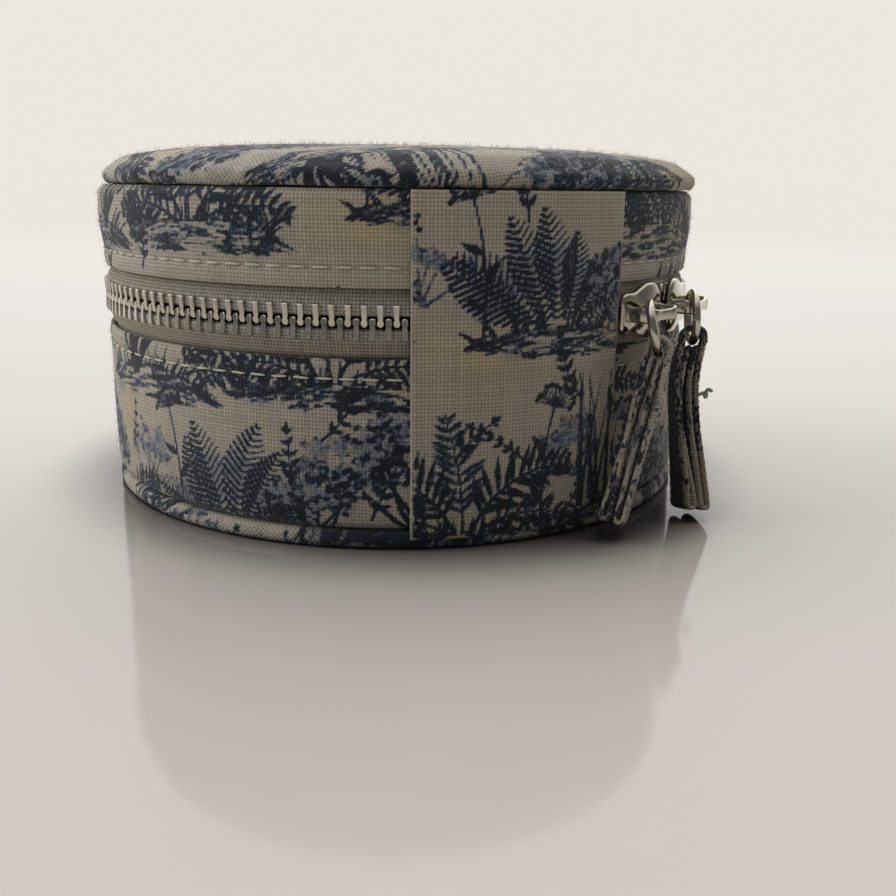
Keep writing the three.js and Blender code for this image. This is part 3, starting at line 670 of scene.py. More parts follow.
def metal(name, colour, roughness):  # polished, with a faint haze and small tarnished places
    material, tree, shader = startMaterial(name, {"Metallic": 1.0})
    place = objectPlace(tree)
    haze = noise(tree, place, 700.0, 4.0)
    tarnish = ramp(tree, noise(tree, place, 260.0, 3.0), 0.5, 0.8, 0.0, 0.35)
    tree.links.new(blendColour(tree, tarnish, colour, rgb(150, 143, 124)), shader.inputs["Base Color"])
    rough = ramp(tree, haze, 0.3, 0.75, roughness * 0.7, roughness * 1.6)
    tree.links.new(rough, shader.inputs["Roughness"])
    addBump(tree, shader, haze, 0.12, 0.00005)
    return material


zipCloth = {
    "ground": rgb(166, 160, 145),
    "shade": rgb(140, 134, 121),
    "bead": rgb(168, 166, 158),
    "lint": rgb(176, 170, 156),
    "pitch": 0.5,
    "wander": 0.12,
    "specks": 0.3,
    "gapShade": 0.75,
    "beadReach": (1.7, 2.3),
}


def zipTape():
    material, tree, shader = startMaterial("zipTape", {"Roughness": 0.88, "Sheen Weight": 0.15})
    c, cloth = zipCloth, clothMap(tree)
    fuzz = useGroup(tree, clothFuzz, {"Place": objectPlace(tree)})
    weave = useGroup(tree, plainWeave, {"Cloth": cloth, "Pitch": c["pitch"], "Wander": c["wander"]})
    specks = maths(tree, "MULTIPLY", maths(tree, "SUBTRACT", weave["Thread"], 0.5), c["specks"])
    level = maths(tree, "ADD", maths(tree, "MULTIPLY_ADD", weave["Gap"], -c["gapShade"], 1.05), specks)
    base = blendColour(tree, maths(tree, "MULTIPLY", fuzz["Mottle"], 0.5), c["ground"], c["shade"])
    across = put(tree, "ShaderNodeSeparateXYZ", {0: cloth}).outputs[1]
    base = blendColour(tree, ramp(tree, across, *c["beadReach"], 0.8, 0.0), base, c["bead"])
    lint = maths(tree, "MULTIPLY", fuzz["Lint"], 0.25)
    colour = blendColour(tree, lint, shaded(tree, base, level), c["lint"])
    tree.links.new(colour, shader.inputs["Base Color"])
    addBump(tree, shader, weave["Height"], 0.8, 0.00012)
    return material


def plainCloth(name, colour, shade, pitch, sheen):
    material, tree, shader = startMaterial(name, {"Roughness": 0.9, "Sheen Weight": sheen})
    weave = useGroup(tree, plainWeave, {"Cloth": clothMap(tree), "Pitch": pitch})
    fuzz = useGroup(tree, clothFuzz, {"Place": objectPlace(tree)})
    # the gaps between threads are darkened: painted shade in the weave's hollows
    hollow = maths(tree, "SUBTRACT", 1.0, maths(tree, "MULTIPLY", weave["Gap"], 0.45))
    level = maths(tree, "MULTIPLY", hollow, ramp(tree, weave["Thread"], 0.0, 1.0, 0.9, 1.06))
    base = blendColour(tree, fuzz["Mottle"], colour, shade)
    tree.links.new(shaded(tree, base, level), shader.inputs["Base Color"])
    addBump(tree, shader, weave["Height"], 0.6, 0.0001)
    return material


def velvetCloth():  # a short nap, brushed lighter and darker
    material, tree, shader = startMaterial("rollVelvet", {
        "Roughness": 0.85, "Sheen Weight": 0.7, "Sheen Roughness": 0.35,
    })
    place = objectPlace(tree)
    nap = noise(tree, place, 1500.0, 2.0)
    brushed = noise(tree, place, 120.0, 3.0, Distortion=1.5)
    base = blendColour(tree, brushed, rgb(70, 80, 100), rgb(112, 123, 143))
    base = blendColour(tree, maths(tree, "MULTIPLY", nap, 0.4), base, rgb(56, 64, 82))
    tree.links.new(base, shader.inputs["Base Color"])
    addBump(tree, shader, nap, 0.4, 0.0001)
    return material


def grainy(name, colour, shade, scale, roughness):
    material, tree, shader = startMaterial(name, {"Roughness": roughness})
    grain = noise(tree, objectPlace(tree), scale, 4.0)
    tree.links.new(blendColour(tree, grain, colour, shade), shader.inputs["Base Color"])
    addBump(tree, shader, grain, 0.3, 0.0001)
    return material


nickel = metal("nickel", rgb(206, 200, 186), 0.1)
toothNickel = metal("toothNickel", rgb(208, 202, 188), 0.2)
tapeMaterial = zipTape()
liningLinen = plainCloth("liningLinen", rgb(190, 182, 166), rgb(168, 160, 146), 0.36, 0.15)
rollVelvet = velvetCloth()
threadCotton = grainy("seamThread", rgb(226, 224, 204), rgb(196, 194, 176), 2600.0, 0.8)
strayFibre = grainy("strayFibre", rgb(168, 166, 158), rgb(84, 90, 104), 500.0, 0.9)
looseCotton = grainy("looseThread", rgb(182, 188, 170), rgb(134, 140, 126), 2600.0, 0.85)
greyBoard = grainy("greyBoard", rgb(166, 158, 146), rgb(138, 131, 121), 900.0, 0.9)
padFoam = grainy("padFoam", rgb(228, 223, 208), rgb(205, 199, 182), 1800.0, 0.95)


def finish(piece, material, body, slot, *stoodFor):
    piece.data.materials.clear()
    piece.data.materials.append(material)
    if body:
        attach(piece, body)
    if stoodFor:
        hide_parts(*stoodFor)
    return piece


# The two cloth bands

bands = {
    "face": 49.95,
    "foldCentre": 49.6,
    "foldRadius": 0.35,
    "inner": 49.25,
    "wadding": 48.5,
    "tapeReach": 5.7,
    "swell": 0.3,
    "turnIn": 0.75,
    "turnReach": 1.3,
    "stitchGroove": 0.17,
    "stitchPucker": 0.05,
    "headFull": 0.3,
    "hemPuff": 0.12,
    "wave": 0.1,
    "columnStep": 0.3,
    "rowStep": 0.3,
}


def bandPiece(name, up, seamEdge, zipEdge, stitchHeight, phase, shift):  # up is 1 below the zip, -1 above
    b, fold = bands, bands["foldRadius"]
    outerTop, tapeEdge = zipEdge - up * fold, zipEdge - up * b["tapeReach"]
    rows = max(2, int(round(abs(outerTop - seamEdge) / b["rowStep"])))
    face = np.column_stack([np.full(rows + 1, b["face"]), np.linspace(seamEdge, outerTop, rows + 1)])
    turn = np.radians(np.linspace(0, 180, 9)[1:])
    hem = np.column_stack([b["foldCentre"] + fold * np.cos(turn), outerTop + up * fold * np.sin(turn)])
    back = [(b["inner"], zipEdge - up * 1.5), (b["inner"], tapeEdge), (b["wadding"], tapeEdge),
            (b["wadding"], (seamEdge + tapeEdge) / 2), (b["wadding"], seamEdge)]
    line = np.concatenate([face, hem, back])
    outer = np.arange(len(line)) <= rows + 4
    at = runningLength(line)
    if up < 0:  # drawn the other way, so that the faces still point outwards
        line, outer, at = line[::-1], outer[::-1], at[::-1]
    start, end = openSpan(case["bandEnd"])
    columns = int(round(math.radians(end - start) * case["radius"] / b["columnStep"]))
    angle = np.linspace(start, end, columns + 1)[:, None]
    height = np.broadcast_to(line[:, 1], (columns + 1, len(line)))
    share = np.clip((height - seamEdge) / (zipEdge - seamEdge), 0, 1)
    turned = 1 - smooth(np.abs(height - seamEdge) / b["turnReach"])
    push = b["swell"] * np.sin(np.pi * share ** 0.7) - b["turnIn"] * turned ** 2
    if up < 0:
        push = push + b["headFull"] * smooth((height - 39) / 4)
    push = push - b["stitchGroove"] * hump(height, stitchHeight, 0.4)
    push = push + b["hemPuff"] * hump(height, stitchHeight + up * 1.2, 0.8)
    gathers = np.sin(np.radians(angle) * 98 + 1.3 * np.sin(np.radians(angle) * 17))
    push = push + b["stitchPucker"] * gathers * hump(height, stitchHeight, 0.9)
    push = push + b["wave"] * ripple(angle, height, phase) * np.sin(np.pi * share)
    points = wallPoint(angle, line[:, 0] + np.where(outer, push, 0), height)
    uv = clothPlaces(np.radians(angle) * 50.2, at * up) + np.array(shift)
    return gridPiece(name, points, uv, closeV=True, caps=True, tile=tile)


lowerBand = bandPiece("lowerBand", 1, 2.75, case["lowerEdge"], case["lowerStitch"], 0.7, (31.0, 8.0))
upperBand = bandPiece("upperBand", -1, 48.85, case["upperEdge"], case["upperStitch"], 2.3, (118.0, 84.0))
finish(lowerBand, canvasMaterial, "base", "printed_canvas", "base_side_band")
finish(upperBand, canvasMaterial, "lid", "printed_canvas", "lid_side_band")
print("bands made")


# The crowned top, blown up as cloth, and the rolled bottom

crown = {
    "segments": 704,
    "step": 0.4,
    "pucker": 0.11,
    "puckerReach": 4.5,
    "wave": 0.12,
    "rimWave": 0.16,
    "rimPucker": 0.09,
    "rimSway": 0.12,
    "slip": 0.7,
    "slipTurn": 232.0,
}
swell = {
    "radius": 48.6,
    "rise": 3.3,
    "slack": 0.45,
    "rings": 26,
    "segments": 132,
    "scale": 10.0,
    "pressure": 4.0,
    "stiffness": 18.0,
    "bending": 0.6,
    "spare": 0.02,
    "frames": 20,
    "cap": 0.6,
}


def swollenDisc():  # a slack disc sewn down at its rim and blown up; gives how far each place has moved
    rings, count, radius = swell["rings"], swell["segments"], swell["radius"]
    unitSize = mm * swell["scale"]
    places = [(0.0, 0.0, swell["rise"])]
    for reach in radius * np.arange(1, rings + 1) / rings:
        height = swell["rise"] * (1 - (reach / radius) ** 2)
        places += [tuple(p) for p in wallPoint(np.arange(count) * 360.0 / count, reach, height)]
    faces = [(0, 1 + k, 1 + (k + 1) % count) for k in range(count)]
    for i in range(rings - 1):
        near, far = 1 + i * count, 1 + (i + 1) * count
        for k in range(count):
            n = (k + 1) % count
            faces.append((near + k, far + k, far + n, near + n))
    mesh = bpy.data.meshes.new("slackDisc")
    mesh.from_pydata([tuple(v * unitSize for v in p) for p in places], [], faces)
    disc = newObject("slackDisc", mesh)
    sewn = disc.vertex_groups.new(name="sewn")
    sewn.add(list(range(1 + (rings - 1) * count, 1 + rings * count)), 1.0, "REPLACE")
    cloth = disc.modifiers.new("swell", "CLOTH")
    cloth.settings.quality = 6
    cloth.settings.mass = 0.3
    cloth.settings.tension_stiffness = swell["stiffness"]
    cloth.settings.compression_stiffness = swell["stiffness"]
    cloth.settings.bending_stiffness = swell["bending"]
    cloth.settings.use_pressure = True
    cloth.settings.uniform_pressure_force = swell["pressure"]
    cloth.settings.vertex_group_mass = "sewn"
    cloth.settings.shrink_min = -swell["spare"]
    cloth.settings.effector_weights.gravity = 0
    cloth.collision_settings.use_collision = False
    cloth.point_cache.frame_start = 1
    cloth.point_cache.frame_end = swell["frames"]
    for number in range(1, swell["frames"] + 1):
        bpy.context.scene.frame_set(number)
    moved = bpy.data.meshes.new_from_object(disc.evaluated_get(bpy.context.evaluated_depsgraph_get()))
    after = np.empty(len(moved.vertices) * 3)
    moved.vertices.foreach_get("co", after)
    lifted = after.reshape(-1, 3)[:, 2] / unitSize - np.array(places)[:, 2]
    disc.modifiers.clear()
    bpy.data.objects.remove(disc)
    bpy.data.meshes.remove(moved)
    bpy.context.scene.frame_set(1)
    grid = np.concatenate([np.full((1, count), lifted[0]), lifted[1:].reshape(rings, count)])
    low, high, uneven = (round(float(v), 3) for v in (grid.min(), grid.max(), grid.std(axis=1).max()))
    print("disc swollen", low, "to", high, "mm, uneven by", uneven)
    return np.clip(grid, -swell["cap"], swell["cap"])


def readDisc(grid, radius, angle):  # the moved disc read at any place between its points
    i = np.clip(radius / swell["radius"], 0, 1) * (grid.shape[0] - 1)
    k = (angle % 360) / 360 * grid.shape[1]
    i0, k0 = np.minimum(np.floor(i).astype(int), grid.shape[0] - 2), np.floor(k).astype(int)
    di, dk = i - i0, k - k0
    k0, k1 = k0 % grid.shape[1], (k0 + 1) % grid.shape[1]
    low = grid[i0, k0] * (1 - dk) + grid[i0, k1] * dk
    high = grid[i0 + 1, k0] * (1 - dk) + grid[i0 + 1, k1] * dk
    return low * (1 - di) + high * di


crownGrid = swollenDisc()


def crownBump(angle, radius, height):
    c, a = crown, np.radians(angle)
    outer = height > 49.3
    rim = np.clip((radius - (case["radius"] - c["puckerReach"])) / c["puckerReach"], 0, 1)
    folds = 0.6 * np.sin(61 * a + 2.0 * np.sin(9 * a)) + 0.4 * np.sin(103 * a + 3 * np.sin(5 * a))
    up = c["pucker"] * folds * rim * outer
    swing = np.sin(np.pi * np.clip(radius / case["radius"], 0, 1))
    up = up + c["wave"] * ripple(angle, radius, 1.9) * swing * outer
    if crownGrid is not None:  # the cloth starts flatter by the slack, before it is blown up
        slack = swell["slack"] * (1 - np.clip(radius / swell["radius"], 0, 1) ** 4)
        up = up + (readDisc(crownGrid, radius, angle + 0 * radius) - slack) * (height > 51.5)
    edge = smooth((radius - 48.0) / 1.5) * (height > 48.9)
    roll = ripple(angle, 0, 0.9) + 0.4 * np.sin(29 * a + 2 * np.sin(4 * a))
    out = (c["rimPucker"] * folds + c["rimSway"] * ripple(angle, 0, 2.8)) * edge
    return out, up + c["rimWave"] * roll * edge


def topPanel():
    upper = [(0, 55.5), (10, 55.42), (22, 55.15), (33, 54.6), (41, 53.85), (46, 52.95), (48.4, 52.1),
             (49.6, 51.25), (50.05, 50.45), (50.0, 49.8), (49.7, 49.3), (49.2, 49.02)]
    under = [(48.8, 49.05), (47.6, 51.3), (38, 53.1), (20, 54.2), (0, 54.6)]
    profile = rounded(upper, 1.2, 3) + rounded(under, 0.3, 2)
    return turnedPiece("topPanel", profile[::-1], crown["segments"], crown["step"], -1, tile, (70.0, 40.0),
                       crownBump, wallPoint(crown["slipTurn"], crown["slip"], 0.0)[:2])


foot = {
    "segments": 640,
    "step": 0.45,
    "pucker": 0.07,
    "pleat": 0.06,
    "wave": 0.1,
    "dark": 0.5,
    "darkFrom": 140.0,
    "darkTo": 165.0,
    "darkFade": 7.0,
    "slip": 0.75,
    "slipTurn": 162.0,
}


def footBump(angle, radius, height):
    a = np.radians(angle)
    edge = smooth((radius - 47.2) / 2.0)
    folds = 0.6 * np.sin(47 * a + 2 * np.sin(7 * a)) + 0.4 * np.sin(83 * a)
    raised = (height > 0.2) * (height < 2.3)
    up = foot["pucker"] * folds * edge * raised + foot["wave"] * edge * ripple(angle, 0, 4.4) * (height < 2.2)
    return foot["pleat"] * folds * edge * (height < 2.3), np.maximum(up, -height)


def hiddenFloor(line):  # the bottom panel's upper face, under the board
    return (line[:, 1] > 2.3) & (line[:, 0] < 47)


def bottomPanel():
    f = foot
    under = [(0, 0), (30, 0), (48.1, 0.0), (49.1, 0.05), (49.7, 0.3), (49.95, 0.85), (49.85, 1.45), (49.5, 2.1),
             (49.0, 2.42), (47, 2.45), (0, 2.45)]
    piece = turnedPiece("bottomPanel", rounded(under, 0.8, 3), f["segments"], f["step"], 1, tile, (15.0, 95.0),
                        footBump, wallPoint(f["slipTurn"], f["slip"], 0.0)[:2], hiddenFloor)
    # The rolled foot takes extra ink all round: partly a dark part of the print, partly painted shade that
    # makes the foot roll read dark
    ink = readInk(piece)
    place = np.empty(len(ink) * 3, np.float32)
    piece.data.vertices.foreach_get("co", place)
    place = place.reshape(-1, 3)
    angle = np.degrees(np.arctan2(place[:, 0], -place[:, 1])) % 360
    past = smooth((angle - f["darkTo"]) / f["darkFade"])
    within = smooth((angle - f["darkFrom"]) / f["darkFade"]) * (1 - past)
    share = 0.15 + 0.85 * within + 0.35 * past
    ink[:, 0] = np.clip(ink[:, 0] + (f["dark"] * ink[:, 1] + 0.42) * share, 0, 1)  # extra ink, most between darkFrom and darkTo: partly the print's dark thicket, partly painted shade on the foot roll
    writeInk(piece, ink)
    return piece


topPiece = finish(topPanel(), canvasMaterial, "lid", "printed_canvas", "lid_top_panel")
finish(bottomPanel(), canvasMaterial, "base", "printed_canvas", "base_bottom_panel")
print("top and bottom made")


# The cloth hinge

hinge = {
    "outer": 50.95,
    "skinInner": 50.35,
    "coreInner": 49.3,
    "coreHalf": 14.9,
    "foot": 1.5,
    "head": 48.85,
    "edgeRound": 0.55,
    "sag": 0.28,
    "wave": 0.12,
    "footTuck": 0.3,
    "edgeBead": 0.08,
}


def hingePiece():
    h, half = hinge, case["hingeHalf"]
    margin = half - np.array([0.0, 0.08, 0.18, 0.32, 0.48])
    middle = np.linspace(-margin[-1] + 0.34, margin[-1] - 0.34, 100)
    off = np.concatenate([-margin, middle, margin[::-1]])[:, None]
    rows = 156
    z = np.concatenate([np.linspace(h["foot"], h["head"], rows), np.linspace(h["head"], h["foot"], 40)])
    height = z + 0 * off
    near = (half - np.abs(off)) * math.radians(1) * 50.9  # how far each column lies from the panel's side
    shape = np.sqrt(np.clip(1 - (1 - np.clip(near / h["edgeRound"], 0, 1)) ** 2, 0.02, 1))
    middleRadius, halfThick = (h["outer"] + h["skinInner"]) / 2, (h["outer"] - h["skinInner"]) / 2
    sag = 0.1 * hump(height, 36.6, 0.9) + 0.07 * hump(height, 26.2, 0.9) - h["sag"] * hump(height, 31.3, 3.6)
    sag = sag + h["wave"] * np.sin(height * 0.21 + off * 0.13) * np.sin(off * 0.19 + 1.0)
    sag = sag - h["footTuck"] * np.exp(-(height - h["foot"]) / 1.2)
    outer = middleRadius + halfThick * shape + sag * smooth(near / 1.5) + h["edgeBead"] * hump(near, 0.8, 0.5)
    core = smooth((h["coreHalf"] - np.abs(off)) / 0.5)
    inner = middleRadius - halfThick * shape - (h["skinInner"] - h["coreInner"]) * core * (height > 2.9)
    angle = case["hingeAngle"] + off
    points = wallPoint(angle, np.where(np.arange(len(z)) < rows, outer, inner), height)
    uv = clothPlaces(np.radians(angle) * 50.9, height) + np.array((64.0, 52.0))
    piece = gridPiece("hingePanel", points, uv, closeV=True, caps=True, tile=tile)
    ink = readInk(piece).reshape(*height.shape, 4)
    # The sides lose ink and take some gold: partly the folded edge's pale fringe, partly a painted highlight
    # along the folded edges
    edge = 1 - smooth((near - 0.15) / 0.5) + 0 * height
    byZip = hump(height, 30.5, 4.0) * (off > 0) * (1 - smooth((near - 0.6) / 2.4))
    ink[..., 0] *= (1 - 0.75 * edge) * (1 - 0.6 * byZip)  # paler along the sides and by the zip; the sides partly their own pale folded fringe, partly a painted highlight
    ink[..., 2] = np.maximum(ink[..., 2], np.maximum(byZip, 0.35 * edge))
    writeInk(piece, ink)
    return piece


hingePanel = finish(hingePiece(), canvasMaterial, None, "printed_canvas", "hinge_panel")
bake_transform(hingePanel)


def hingeLiningPiece():
    inner, outer = 47.4, 48.2
    z = np.linspace(25.95, 37.05, 23)
    line = np.concatenate([np.column_stack([0 * z + outer, z]), np.column_stack([0 * z + inner, z[::-1]])])
    half = case["bandEnd"]
    angle = np.linspace(case["hingeAngle"] - half, case["hingeAngle"] + half, 60)[:, None]
    points = wallPoint(angle, line[:, 0], line[:, 1])
    uv = clothPlaces(np.radians(angle) * 48, line[:, 1])
    return gridPiece("hingeLining", points, uv, closeV=True, caps=True)


hingeLining = finish(hingeLiningPiece(), liningLinen, None, "lining_cloth", "hinge_lining")
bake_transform(hingeLining)
print("hinge made")


# Zip: tape with its woven bead, and the two rows of teeth

sliderAt = {"a": 204.5, "b": 219.7}
zipChain = {"pitch": 2.13, "parting": 1.24, "partFrom": -1.4, "partTo": 2.0, "teeth": 130, "clearance": 0.3}
pitchAngle = math.degrees(zipChain["pitch"] / case["chainRadius"])
chainEnd = openSpan(case["hingeHalf"])[1] - math.degrees(zipChain["clearance"] / case["chainRadius"])


def parting(angle):  # the rows stand apart between the two sliders
    start, reach = zipChain["partFrom"], zipChain["partTo"] - zipChain["partFrom"]
    fromA = np.radians(angle - sliderAt["a"]) * case["chainRadius"]
    fromB = np.radians(sliderAt["b"] - angle) * case["chainRadius"]
    return zipChain["parting"] * np.minimum(smooth((fromA - start) / reach), smooth((fromB - start) / reach))


def tapePiece(name, side):
    edge = case["zipCentre"] - case["lowerEdge"] if side < 0 else case["upperEdge"] - case["zipCentre"]
    front = [(49.6, 0.84), (49.98, 0.94), (50.16, 1.25), (50.2, 1.6), (50.12, 2.0), (49.95, 2.35), (49.84, 2.7),
             (49.72, 3.2), (49.4, edge - 0.75), (49.08, edge - 0.25), (48.95, edge + 0.25), (48.94, edge + 2.2),
             (48.94, edge + 5.0)]
    back = [(48.52, edge + 5.0), (48.52, edge + 2.2), (48.55, edge + 0.1), (48.8, edge - 0.5), (49.2, 3.1),
            (49.36, 2.7), (49.22, 2.35), (49.06, 2.0), (49.0, 1.6), (49.04, 1.25), (49.22, 0.94)]
    line = np.array(front + back)
    at = runningLength(line)
    if side > 0:
        line, at = line[::-1], at[::-1]
    radius, away = line[:, 0], line[:, 1]
    angle = np.linspace(*openSpan(case["bandEnd"]), 900)[:, None]
    free = smooth((edge + 0.1 - away) / 1.2)
    turn = 2 * np.pi * (angle - chainEnd) / pitchAngle + (0 if side < 0 else np.pi)
    notches = 0.07 * np.cos(turn) * (away < 2.4) * (radius > 49.7)  # the bead is pressed in by each tooth
    radius = radius + 0.05 * ripple(angle, 0, 3.1 + side) * free - notches
    points = wallPoint(angle, radius, case["zipCentre"] + side * (away + parting(angle) * free))
    return gridPiece(name, points, clothPlaces(np.radians(angle) * 49.6, at), closeV=True, caps=True)


finish(tapePiece("tapeLower", -1), tapeMaterial, "base", "zip_tape", "zip_tape_lower")
finish(tapePiece("tapeUpper", 1), tapeMaterial, "lid", "zip_tape", "zip_tape_upper")

tooth = {
    "legWidth": 0.8,
    "headWidth": 0.94,
    "legEnd": 2.36,
    "tip": 0.64,
    "depths": (0.9, 0.8, 0.78, 0.76, 0.74, 0.7, 0.62),
    "bevel": 0.1,
    "middle": 0.7,
}


def toothTemplate():  # one tooth, its head pointing down, outwards towards -Y, shallower at its tip
    w, h, middle = tooth["legWidth"] / 2, tooth["headWidth"] / 2, tooth["middle"]
    half = [(-w, tooth["legEnd"]), (-w, 0.75), (-w * 0.82, 0.45), (-h, 0.08), (-h, -0.22), (-h * 0.72, -0.5)]
    outline = half + [(0, -tooth["tip"])] + [(-x, z) for x, z in half[::-1]]
    depths = tooth["depths"] + tooth["depths"][-2::-1]
    work = bmesh.new()
    rings = []
    for share, push in ((1, 1.0), (0, 1.0), (0, -1.0), (1, -1.0)):  # the two faces are cut back by the bevel
        ring = []
        for (x, z), depth in zip(outline, depths):
            shrink = 1 - share * tooth["bevel"] / max(0.35, math.hypot(x, z - middle))
            y = -push * (depth if share else depth - tooth["bevel"])
            ring.append(work.verts.new((x * shrink * mm, y * mm, (middle + (z - middle) * shrink) * mm)))
        rings.append(ring)
    for near, far in zip(rings, rings[1:]):
        for k in range(len(outline)):
            n = (k + 1) % len(outline)
            work.faces.new((near[k], near[n], far[n], far[k]))
    work.faces.new(rings[0][::-1])
    work.faces.new(rings[-1])
    bmesh.ops.recalc_face_normals(work, faces=work.faces)
    return meshFrom(work, "toothTemplate")


def endTree(tree, copies, given, result):  # real faces with their material
    real = put(tree, "GeometryNodeRealizeInstances", {"Geometry": copies})
    done = put(tree, "GeometryNodeSetMaterial", {"Geometry": real.outputs[0], "Material": given["Material"]})
    tree.links.new(done.outputs[0], result[0])


def wallLineTree(name, template):  # copies of one shape round the drum, pushed up or down between the sliders
    tree, given, result = newGroup(name, [
        ("Count", "Int", 10), ("First angle", "Float", 0.0), ("Step angle", "Float", 0.04),
        ("Radius", "Float", 0.05), ("Height", "Float", 0.03), ("Flip", "Float", 0.0),
        ("Parting", "Float", 0.0), ("From angle", "Float", 0.0), ("To angle", "Float", 0.0),
        ("Jitter", "Float", 0.0), ("Seed", "Int", 3), ("Material", "Material", None),
    ], [("Geometry", "Geometry")], "GeometryNodeTree")
    radius = given["Radius"]
    start, stop = zipChain["partFrom"] * mm, zipChain["partTo"] * mm

    def rising(first, second):  # from 0 to 1 past a slider, measured along the wall
        past = maths(tree, "MULTIPLY", maths(tree, "SUBTRACT", first, second), radius)
        return ramp(tree, past, start, stop, kind="SMOOTHSTEP")

    line = put(tree, "GeometryNodeMeshLine", {"Count": given["Count"], "Offset": (0, 0, 0)})
    number = tree.nodes.new("GeometryNodeInputIndex").outputs[0]
    angle = maths(tree, "ADD", given["First angle"], maths(tree, "MULTIPLY", number, given["Step angle"]))
    apart = maths(tree, "MINIMUM", rising(angle, given["From angle"]), rising(given["To angle"], angle))
    height = maths(tree, "ADD", given["Height"], maths(tree, "MULTIPLY", apart, given["Parting"]))
    x = maths(tree, "MULTIPLY", maths(tree, "SINE", angle), radius)
    y = maths(tree, "MULTIPLY", maths(tree, "COSINE", angle), maths(tree, "MULTIPLY", radius, -1.0))
    place = put(tree, "ShaderNodeCombineXYZ", {0: x, 1: y, 2: height})
    spread = put(tree, "GeometryNodeSetPosition", {"Geometry": line.outputs[0], "Position": place.outputs[0]})
    shape = put(tree, "GeometryNodeObjectInfo", {"Object": template})
    copies = put(tree, "GeometryNodeInstanceOnPoints",
                 {"Points": spread.outputs[0], "Instance": shape.outputs["Geometry"]})
    facing = put(tree, "ShaderNodeCombineXYZ", {2: angle})
    faced = put(tree, "GeometryNodeRotateInstances",
                {"Instances": copies.outputs[0], "Rotation": facing.outputs[0]})
    least = maths(tree, "MULTIPLY", given["Jitter"], -1.0)
    sway = put(tree, "FunctionNodeRandomValue",
               {"Min": least, "Max": given["Jitter"], "Seed": given["Seed"]}, data_type="FLOAT")
    tilt = put(tree, "ShaderNodeCombineXYZ", {1: maths(tree, "ADD", given["Flip"], sway.outputs[1])})
    tilted = put(tree, "GeometryNodeRotateInstances",
                 {"Instances": faced.outputs[0], "Rotation": tilt.outputs[0]})
    endTree(tree, tilted.outputs[0], given, result)
    return tree


def grown(name, tree, values):
    seedObject = newObject(name + "Seed", bpy.data.meshes.new(name + "Seed"))
    modifier = seedObject.modifiers.new("grow", "NODES")
    modifier.node_group = tree
    for item in tree.interface.items_tree:
        if item.item_type == "SOCKET" and item.in_out == "INPUT" and item.name in values:
            modifier[item.identifier] = values[item.name]
    graph = bpy.context.evaluated_depsgraph_get()
    mesh = bpy.data.meshes.new_from_object(seedObject.evaluated_get(graph))
    seedObject.modifiers.clear()
    bpy.data.objects.remove(seedObject)
    return newObject(name, mesh)


template = toothTemplate()
toothTree = wallLineTree("teethRoundTheDrum", template)


def teethPiece(name, side):
    setback = math.degrees(tooth["legWidth"] / 2 / case["chainRadius"])
    last = chainEnd - setback - (0.0 if side < 0 else 0.5) * pitchAngle
    first = last - (zipChain["teeth"] - 1) * pitchAngle
    return grown(name, toothTree, {
        "Count": zipChain["teeth"], "First angle": math.radians(first), "Step angle": math.radians(pitchAngle),
        "Radius": case["chainRadius"] * mm, "Height": case["zipCentre"] * mm,
        "Flip": 0.0 if side > 0 else math.pi,
        "Parting": side * zipChain["parting"] * mm, "From angle": math.radians(sliderAt["a"]),
        "To angle": math.radians(sliderAt["b"]), "Jitter": 0.02, "Seed": 5, "Material": toothNickel,
    })


lowerTeeth = finish(teethPiece("lowerTeeth", -1), toothNickel, "base", "nickel", "zip_teeth_lower")
upperTeeth = finish(teethPiece("upperTeeth", 1), toothNickel, "lid", "nickel", "zip_teeth_upper")
bpy.data.objects.remove(template)
print("zip made", len(lowerTeeth.data.polygons) + len(upperTeeth.data.polygons), "tooth faces")


# Seam stitches

stitch = {"pitch": 3.2, "length": 2.3, "thickness": 0.34, "clear": 0.4, "jitter": 0.05}


def stitchTemplate():  # a thread lying along the wall, its ends dipping into the cloth
    work = bmesh.new()
    bmesh.ops.create_uvsphere(work, u_segments=8, v_segments=7, radius=1)
    half, thick = stitch["length"] / 2 * mm, stitch["thickness"] / 2 * mm
    for v in work.verts:
        x, y, z = v.co.z, v.co.y, -v.co.x
        body = math.copysign(abs(x) ** 0.6, x)
        v.co = Vector((body * half, y * thick * 0.75 + thick * 0.5 * abs(body) ** 3, z * thick))
    bmesh.ops.recalc_face_normals(work, faces=work.faces)
    for f in work.faces:
        f.smooth = True
    return meshFrom(work, "stitchTemplate")


template = stitchTemplate()
stitchTree = wallLineTree("stitchesRoundTheDrum", template)


def stitchPiece(name, height, radius, seed):
    start, end = openSpan(case["hingeHalf"] + stitch["clear"])
    step = math.degrees(stitch["pitch"] / radius)
    count = int((end - start) / step)
    first = start + (end - start - (count - 1) * step) / 2
    return grown(name, stitchTree, {
        "Count": count, "First angle": math.radians(first), "Step angle": math.radians(step),
        "Radius": radius * mm, "Height": height * mm, "Flip": 0.0, "Parting": 0.0,
        "Jitter": stitch["jitter"], "Seed": seed, "Material": threadCotton,
    })


finish(stitchPiece("lowerStitches", case["lowerStitch"], 50.07, 7), threadCotton, "base", "printed_canvas")
finish(stitchPiece("upperStitches", case["upperStitch"], 50.14, 9), threadCotton, "lid", "printed_canvas")
bpy.data.objects.remove(template)
print("stitches made")


# Rings and pull tabs: the ring's place from its slider's middle, how it stands and how the tab hangs from it

